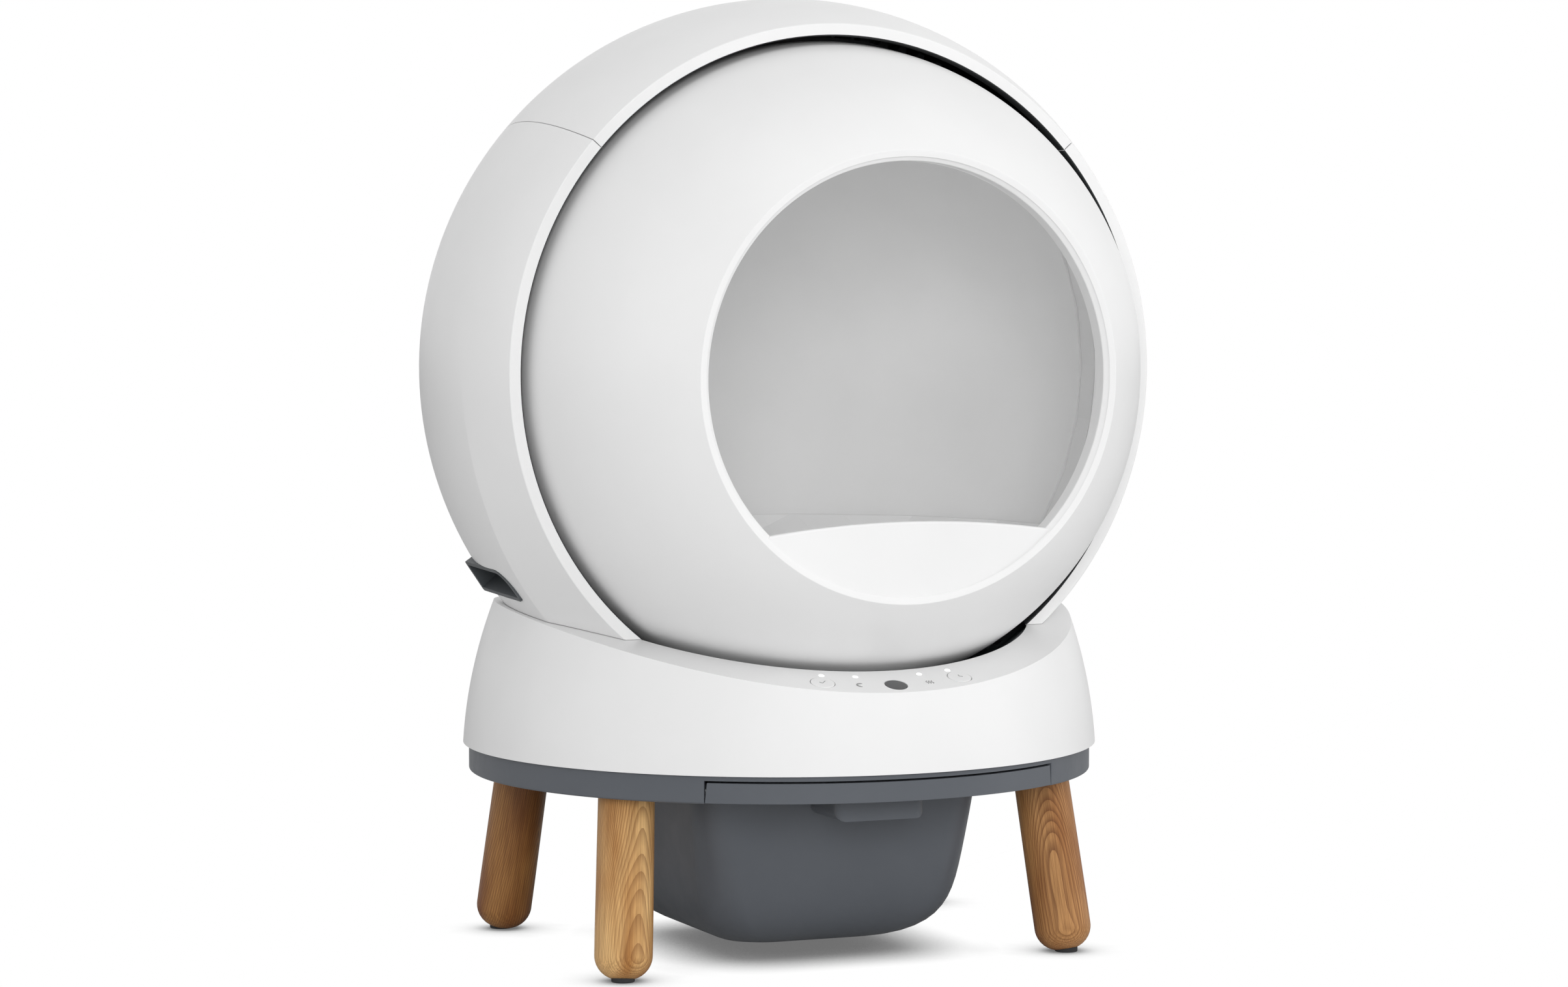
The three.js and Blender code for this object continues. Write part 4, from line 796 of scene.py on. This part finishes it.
lamp_white = moulded_finish("milky lamp", "#ffffff", "#fafafa", 300, 0.0, (0.15, 0.2))
lamp_glow = lamp_white.node_tree.nodes["Principled BSDF"]
lamp_glow.inputs["Emission Color"].default_value = (1, 1, 1, 1)
lamp_glow.inputs["Emission Strength"].default_value = 0.7
for number, (x, y) in enumerate(lens_places, 1):
    lamp = spun(filleted([
        (0, -5 * mm, 0),
        (lens_radius, -5 * mm, 0),
        (lens_radius, 0, 0.3 * mm),
        (0, 0.15 * mm, 0),
    ]), "Z", 32, closed=False)
    made_piece(f"lamp_{number}", on_lip(lamp, x, y), "base", "clear_lens", lamp_white)
finished_node("light_guide", lamp_white)
green_board = moulded_finish("green board", "#1f5a3a", "#1c5236", 700, 0.05 * mm, (0.35, 0.5))
finished_node("control_board", green_board)


# Power inlet: a round socket low on the skirt's back, in the black plastic of the handles.
finished_node("power_inlet", black_grained)


# Drum: a front and a rear shell clamped by the ring gear, an entry rim with a step, and a liner.
# White outside and light grey inside, it turns on the rollers to tip the litter over its grille.
grey_satin = moulded_finish("light grey satin plastic", "#d4d4d4", "#d0d0d0", 1500, 0.04 * mm, (0.45, 0.55))
rim_width, rim_bevel, rim_length, rim_wall = 8 * mm, 5 * mm, 19 * mm, 4.5 * mm
port_half_width, port_front, port_rear, port_corner = 80 * mm, -2 * mm, 80 * mm, 14 * mm
drum_wall = 4 * mm
seat_gap = 0.4 * mm
entry_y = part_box("drum_front")[0].y
joint_front, joint_rear = -57 * mm, -34 * mm
rim_outer = egg_radius(drum_egg, entry_y)
rim_inner = rim_outer - rim_width


def egg_point(egg, turn, offset):
    depth = egg["front"] if turn < math.pi / 2 else egg["rear"]
    outwards = Vector((math.sin(turn) / egg["radius"], -math.cos(turn) / depth)).normalized()
    skin = Vector((egg["radius"] * math.sin(turn), egg["centre"] - depth * math.cos(turn)))
    return skin + outwards * offset


def egg_arc(egg, offset, from_y, to_y, steps):
    """The egg's skin, moved out by an offset, from one place along Y to another."""
    first, last = (halved(lambda t: egg_point(egg, t, offset).y < y, 0, math.pi) for y in (from_y, to_y))
    return [egg_point(egg, first + (last - first) * i / steps, offset) for i in range(steps + 1)]


def shade_painted_where(finish, mask, colour):
    """Mixes a colour into a finish's own, by a mask; both uses paint shade into the gap round the drum."""
    tree = finish.node_tree
    base = tree.nodes["Principled BSDF"].inputs["Base Color"]
    tree.links.new(mixed_colour(tree, mask, base.links[0].from_socket, tone(colour)), base)


def at_axis(shape):
    bmesh.ops.translate(shape, vec=(0, 0, axis_height), verts=shape.verts)
    return shape


front_end = joint_front - seat_gap
outer = egg_arc(drum_egg, 0, entry_y, front_end, 48)
inner_wall = egg_arc(drum_egg, -drum_wall, entry_y + 1 * mm, front_end, 48)
front = spun([(rim_outer + 0.2 * mm, entry_y), *outer[1:], *reversed(inner_wall)], "Y")
front = softened(at_axis(front), 0.5 * mm, 2)
made_piece("drum_front_shell", front, "drum", "white_shell", white_satin, "drum_front")

rear_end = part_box("drum_rear")[1].y
outer = egg_arc(drum_egg, 0, joint_rear + seat_gap, rear_end - 1e-6, 64)
inner_wall = egg_arc(drum_egg, -drum_wall, joint_rear + seat_gap, rear_end - drum_wall - 1e-6, 64)
outer[-1].x = inner_wall[-1].x = 0
rear = spun([*reversed(outer), *inner_wall], "Y", closed=False)
port = rounded_rectangle(-port_half_width, port_half_width, port_front, port_rear, [port_corner] * 4)
rear = softened(cut(rear, risen(port, 0, axis_height)), 0.6 * mm, 2)
made_piece("drum_rear_shell", at_axis(rear), "drum", "grey_plastic", grey_satin, "drum_rear")
for node in ("litter_liner", "sifting_grille"):
    finished_node(node, grey_satin)

# The ring gear is light in its bore, which shows inside the drum, and painted dark outside it as shade in
# the gap
gear_finish = moulded_finish("ring gear plastic and painted gap shade", "#d4d4d4", "#d0d0d0", 1500, 0.04 * mm, (0.45, 0.55))
tree = gear_finish.node_tree
about_axis = tree.nodes.new("ShaderNodeMapping")
about_axis.inputs["Location"].default_value = (0, 0, -axis_height)
about_axis.inputs["Scale"].default_value = (1, 0, 1)
tree.links.new(object_place(tree), about_axis.inputs["Vector"])
from_axis = tree.nodes.new("ShaderNodeVectorMath")
from_axis.operation = "LENGTH"
tree.links.new(about_axis.outputs["Vector"], from_axis.inputs[0])
bore_end = drum_egg["radius"] - 3.5 * mm
gap_shade_mask = ranged(tree, from_axis.outputs["Value"], bore_end, bore_end + 0.5 * mm, 0, 1)
shade_painted_where(gear_finish, gap_shade_mask, "#2c2e30")
finished_node("ring_gear", gear_finish)
finished_node("port_seal", black_rubber)

# The rim's bevelled ring, and the step plate that fills its lower part
rim = spun(filleted([
    (rim_outer, entry_y + 2 * rim_bevel, 0),
    (rim_outer, entry_y, 0.8 * mm),
    (rim_inner, entry_y + rim_bevel, 1.6 * mm),
    (rim_inner, entry_y + rim_length, 1 * mm),
    (rim_inner + rim_wall, entry_y + rim_length, 0),
    (rim_inner + rim_wall, entry_y + 2 * rim_bevel, 0),
]), "Y")
made_piece("entry_ring", at_axis(rim), "drum", "white_shell", white_satin, "entry_rim")
step_top, step_side = 107 * mm, 114.8 * mm
step_setback, step_wall, step_round = 3 * mm, 5 * mm, 3 * mm
half_chord = math.sqrt(rim_inner ** 2 - step_side ** 2)
rise = step_side - step_top
arch_radius = (half_chord ** 2 + rise ** 2) / (2 * rise)
spread = math.asin(half_chord / arch_radius)
edge_turn = math.asin(step_side / rim_inner)
plate_steps = 48
seat_radius = rim_inner + 3.3 * mm
arc = [math.pi + edge_turn + (math.pi - 2 * edge_turn) * i / plate_steps for i in range(plate_steps + 1)]
outline = [(seat_radius * math.cos(t), seat_radius * math.sin(t)) for t in arc]
arch = [math.pi / 2 - spread + 2 * spread * i / plate_steps for i in range(plate_steps + 1)]
outline += [(arch_radius * math.cos(t), -step_top - arch_radius + arch_radius * math.sin(t)) for t in arch]
plate = risen(outline, 0, step_wall)
plate_place = Matrix.Translation((0, entry_y + step_setback + step_wall, axis_height))
bmesh.ops.transform(plate, matrix=plate_place @ Matrix.Rotation(math.pi / 2, 4, "X"), verts=plate.verts)


def on_step_edge(place):
    within = math.hypot(place.x, place.z - axis_height) < rim_inner
    return within and place.y < entry_y + step_setback + step_wall / 2


made_piece("entry_step", softened(plate, step_round, 3, on_step_edge), "drum", "white_shell", white_satin)


# Casing: left and right shells and a bonnet that lifts off, one round form cut by fine seams.
# White like the base. A flat band edges the front, and low on each side a crease runs to the lip.
casing_wall = 4 * mm
band_inner, band_depth, band_round = 257.5 * mm, 12 * mm, 1.6 * mm
casing_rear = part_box("casing_left")[1].y
bonnet_half_angle = math.radians(48.5)
bonnet_rear = 140 * mm
seam = 0.7 * mm
crease_y, crease_end, crease_lift = -57 * mm, 45 * mm, 2.8 * mm
crease_edge, crease_slant = 1.4 * mm, 0.08
crease_fade = math.radians(80), math.radians(118)
column = math.radians(1.865)


def smooth(value, low, high):
    share = min(1, max(0, (value - low) / (high - low)))
    return share * share * (3 - 2 * share)


def casing_outline(front, rear, steps):
    if front > band_y:
        return egg_arc(casing_egg, 0, front, rear, steps)
    skin = egg_arc(casing_egg, 0, front, crease_y - crease_edge, steps // 4)
    skin.append(Vector((egg_radius(casing_egg, crease_y), crease_y)))
    skin += egg_arc(casing_egg, 0, crease_y + crease_edge, rear, steps - steps // 4)
    band_outer = skin[0].x
    start = [(band_inner, band_y + band_depth, 0), (band_inner, band_y, 1.2 * mm),
             (band_outer, band_y, 1.4 * mm), (*skin[2], 0)]
    return filleted(start, 4) + skin[3:]


def creased(shape):
    """Presses the skin straight from the band to the crease, and lifts it a little behind.

    The rows slide forwards with height, so that the crease slants as it climbs.
    """
    slide_start = axis_height - skirt_foot.y - 100 * mm
    band_outer = egg_radius(casing_egg, band_y)
    for vert in shape.verts:
        x, y, z = vert.co
        radius = math.hypot(x, z)
        if not band_y + band_round < y < crease_end or radius < band_inner + 2 * mm:
            continue
        fade = smooth(math.atan2(abs(x), z), *crease_fade)
        slide = -crease_slant * max(0, z + slide_start) * fade
        crest = egg_radius(casing_egg, crease_y + slide) + crease_lift
        ahead = y <= crease_y + 1e-6
        share = (y - band_y) / (crease_y - band_y) if ahead else (crease_end - y) / (crease_end - crease_y)
        place = y + slide * share
        plain = radius + egg_radius(casing_egg, place) - egg_radius(casing_egg, y)
        if ahead:
            pressed = band_outer + (crest - band_outer) * share
        else:
            pressed = plain + crease_lift * share ** 2
        scale = (plain + (pressed - plain) * fade) / radius
        vert.co = (x * scale, place, z * scale)


def casing_patch(points, start, end):
    steps = max(1, round(abs(end - start) / column))
    return spun(points, "Y", steps, start, end - start, closed=False)


def joined(first, second):
    work = bpy.data.meshes.new("work")
    second.to_mesh(work)
    second.free()
    first.from_mesh(work)
    bpy.data.meshes.remove(work)
    return tidy(first)


def cut_on_lip(shape, gap):
    """Levels the lip's curve, cuts straight across and puts the curve back."""
    for vert in shape.verts:
        vert.co.z -= lip_height(vert.co.y)
    bmesh.ops.bisect_plane(shape, geom=shape.verts[:] + shape.edges[:] + shape.faces[:], clear_inner=True,
                           plane_co=(0, 0, gap), plane_no=(0, 0, 1))
    for vert in shape.verts:
        vert.co.z += lip_height(vert.co.y)
    return shape


egg_middle = Vector((0, 0, axis_height))
rows_front, rows_rear = 66, 34
whole_outline = casing_outline(band_y, bonnet_rear, rows_front)
rear_outline = casing_outline(bonnet_rear, casing_rear - 1e-6, rows_rear)
rear_outline[-1].x = 0


def gap_shade_marked(piece):
    """Marks the faces that look in at the drum, which the finish paints dark as shade in the gap round the
    drum.
    """
    least_turned = 0.4
    mark = piece.data.attributes.new("inside", "FLOAT", "FACE")
    for face in piece.data.polygons:
        inwards = Vector((-face.center.x, 0, axis_height - face.center.z)).normalized()
        mark.data[face.index].value = 1.0 if face.normal.dot(inwards) > least_turned else 0.0


# Faces that look in at the drum are painted near black, as painted shade in the gap between the casing and
# the drum.
casing_white = moulded_finish("casing white plastic and painted gap shade", "#efefef", "#ececec", 1800, 0.035 * mm, (0.34, 0.42))
inside = casing_white.node_tree.nodes.new("ShaderNodeAttribute")
inside.attribute_name = "inside"
shade_painted_where(casing_white, inside.outputs["Fac"], "#27292b")

cap = casing_patch(whole_outline, -bonnet_half_angle, bonnet_half_angle)
for vert in cap.verts:
    if abs(vert.co.y - bonnet_rear) < 1e-5:
        vert.co.y -= seam / 2
    turn = math.atan2(vert.co.x, vert.co.z)
    if abs(abs(turn) - bonnet_half_angle) < 1e-4:
        inwards = Vector((-math.copysign(math.cos(turn), turn), 0, math.sin(abs(turn))))
        vert.co += inwards * seam / 2
cap = thickened(facing_out(at_axis(cap), egg_middle), casing_wall)
cap = softened(cap, 0.45 * mm, 2)
gap_shade_marked(made_piece("bonnet_cap", cap, "bonnet", "white_shell", casing_white, "bonnet"))


# Handle cups: black trays let into the casing low on both sides, for lifting the whole box.
# The frame is flat and stands proud of the round shell, and its front upper corner is swept round.
handle_turn = math.radians(124.4)
handle_front, handle_length, handle_height = -44 * mm, 96 * mm, 28.4 * mm
handle_border, handle_wall, handle_gap = 3.4 * mm, 2 * mm, 0.25 * mm
handle_corner, handle_nose = 2.5 * mm, 22 * mm
handle_face, handle_floor = 291.3 * mm, 273 * mm
handle_tilt = 0.029
well_taper = 0.84


def handle_outline(shrink, side):
    half = handle_height / 2 - shrink
    corner, nose = handle_corner - shrink, handle_nose - shrink
    radii = [corner, nose, corner, corner] if side < 0 else [nose, corner, corner, corner]
    front, rear = handle_front + shrink, handle_front + handle_length - shrink
    return rounded_rectangle(-half, half, front, rear, radii, 6)


def turned_out(shape, side):
    turn = Matrix.Rotation(side * handle_turn, 3, "Y")
    bmesh.ops.rotate(shape, cent=(0, 0, 0), matrix=turn, verts=shape.verts)
    return at_axis(shape)


def handle_tray(side):
    """A flat-faced frame drawn up along the handle's own axis, with its floor sunk for the fingers."""
    shape = risen(handle_outline(0, side), handle_floor - handle_wall, handle_face)
    top = max(shape.faces, key=lambda f: f.calc_center_median().z)
    bmesh.ops.inset_region(shape, faces=[top], thickness=handle_border, use_even_offset=True)
    floor = max(shape.faces, key=lambda f: (round(f.calc_center_median().z, 5), f.calc_area()))
    sunk_verts = lid_over(shape, [floor])
    bmesh.ops.delete(shape, geom=[floor], context="FACES_ONLY")
    for vert in shape.verts:
        if vert.co.z > handle_floor:
            vert.co.z -= (vert.co.y - handle_front) * handle_tilt
    for vert in sunk_verts:
        vert.co.z = handle_floor
        vert.co.x *= well_taper
    return tidy(shape)


for name, side in (("left", -1), ("right", 1)):
    seam_turn = math.pi - 1e-9
    behind = joined(casing_patch(rear_outline, 0, bonnet_half_angle),
                    casing_patch(rear_outline, bonnet_half_angle, seam_turn))
    half = joined(casing_patch(whole_outline, bonnet_half_angle, seam_turn), behind)
    for vert in half.verts:
        turn = math.atan2(vert.co.x, vert.co.z)
        if abs(turn - bonnet_half_angle) < 1e-4 and vert.co.y < bonnet_rear + 1e-5:
            vert.co += Vector((math.cos(turn), 0, -math.sin(turn))) * seam / 2
        elif turn < bonnet_half_angle and abs(vert.co.y - bonnet_rear) < 1e-5:
            vert.co.y += seam / 2
        if vert.co.x < seam / 2:
            vert.co.x = seam / 2
    if side < 0:
        bmesh.ops.scale(half, vec=(-1, 1, 1), verts=half.verts)
        bmesh.ops.reverse_faces(half, faces=half.faces)
    creased(half)
    half = facing_out(cut_on_lip(at_axis(half), seat_gap), egg_middle)
    half = thickened(half, casing_wall)
    well = risen(handle_outline(-handle_gap, side), handle_floor / 2, 1.5 * handle_face)
    half = softened(cut(half, turned_out(well, side)), 0.45 * mm, 2)
    gap_shade_marked(made_piece("casing_shell_" + name, half, "base", "white_shell", casing_white,
                             "casing_" + name))
    tray = softened(turned_out(handle_tray(side), side), 0.8 * mm)
    made_piece("handle_tray_" + name, tray, "base", "black_plastic", black_grained, "handle_cup_" + name)


# Studio: a plain pale floor that runs out into a white sky, and soft lamps in front, right and
# above, with a small one inside the entry that evens the drum's light like a reflector card. The floor
# lights the object as plain grey paper; the camera sees it as an even glow, darkened as painted
# contact shadow where parts stand close above it.
# The camera stands where the photographer's did, left of the entry and low.
floor_reach = 40
floor_grey = 0.72
painted_shadow_reach, painted_shadow_dark = 60 * mm, 0.16
sky_light = 0.54
floor = bmesh.new()
bmesh.ops.create_grid(floor, x_segments=1, y_segments=1, size=floor_reach)
studio_floor = loose_object(floor)
studio_floor.name = "studio_floor"
pale = bpy.data.materials.new("pale floor with painted shadow")
pale.use_nodes = True
tree = pale.node_tree
tree.nodes.clear()
paper = tree.nodes.new("ShaderNodeBsdfDiffuse")
paper.inputs["Color"].default_value = (floor_grey, floor_grey, floor_grey, 1)
# The occlusion test darkens the camera's view of the floor under the legs and tub: painted contact shadow.
near = tree.nodes.new("ShaderNodeAmbientOcclusion")
near.samples = 8
near.inputs["Distance"].default_value = painted_shadow_reach
glow_with_painted_shadow = tree.nodes.new("ShaderNodeEmission")
tree.links.new(ranged(tree, near.outputs["AO"], 0.2, 0.85, painted_shadow_dark, 1.0), glow_with_painted_shadow.inputs["Strength"])
seen = tree.nodes.new("ShaderNodeLightPath").outputs["Is Camera Ray"]
either = tree.nodes.new("ShaderNodeMixShader")
for socket, source in zip(either.inputs, (seen, paper.outputs["BSDF"], glow_with_painted_shadow.outputs["Emission"])):
    tree.links.new(source, socket)
tree.links.new(either.outputs["Shader"], tree.nodes.new("ShaderNodeOutputMaterial").inputs["Surface"])
studio_floor.data.materials.append(pale)

sky = bpy.data.worlds.new("white sky")
scene.world = sky
sky.use_nodes = True
backdrop = sky.node_tree.nodes["Background"]
backdrop.inputs["Color"].default_value = (1, 1, 1, 1)
tree = sky.node_tree
scattered = tree.nodes.new("ShaderNodeLightPath").outputs["Is Diffuse Ray"]
tree.links.new(ranged(tree, scattered, 0.0, 1.0, 1.0, sky_light), backdrop.inputs["Strength"])
scene.view_settings.view_transform = "Standard"


def soft_lamp(name, place, size, power, aim=(0, 0, 0.4)):
    lamp = bpy.data.lights.new(name, "AREA")
    lamp.shape = "DISK"
    lamp.size = size
    lamp.energy = power
    holder = bpy.data.objects.new(name, lamp)
    holder.location = place
    holder.rotation_euler = (Vector(aim) - Vector(place)).to_track_quat("-Z", "Y").to_euler()
    holder.visible_camera = holder.visible_glossy = False
    scene.collection.objects.link(holder)


soft_lamp("front_lamp", (-1.3, -3.6, 1.1), 1.4, 56)
soft_lamp("right_lamp", (3.4, -2.0, 1.2), 2.0, 38)
soft_lamp("top_lamp", (0.2, -0.6, 3.8), 2.4, 14)
soft_lamp("entry_lamp", (0, -0.23, 0.5), 0.2, 0.33, (0, 0.2, 0.56))

camera_place = Vector((-1.39056, -3.35585, 0.58499))
camera_yaw, camera_pitch = math.radians(-22.57), math.radians(-3.59)
camera = bpy.data.cameras.new("camera")
camera.sensor_width = 36
camera.lens = 105.06
camera.clip_end = 2 * floor_reach
stand = bpy.data.objects.new("camera", camera)
stand.location = camera_place
stand.rotation_euler = (math.pi / 2 + camera_pitch, 0, camera_yaw)
scene.collection.objects.link(stand)
scene.camera = stand
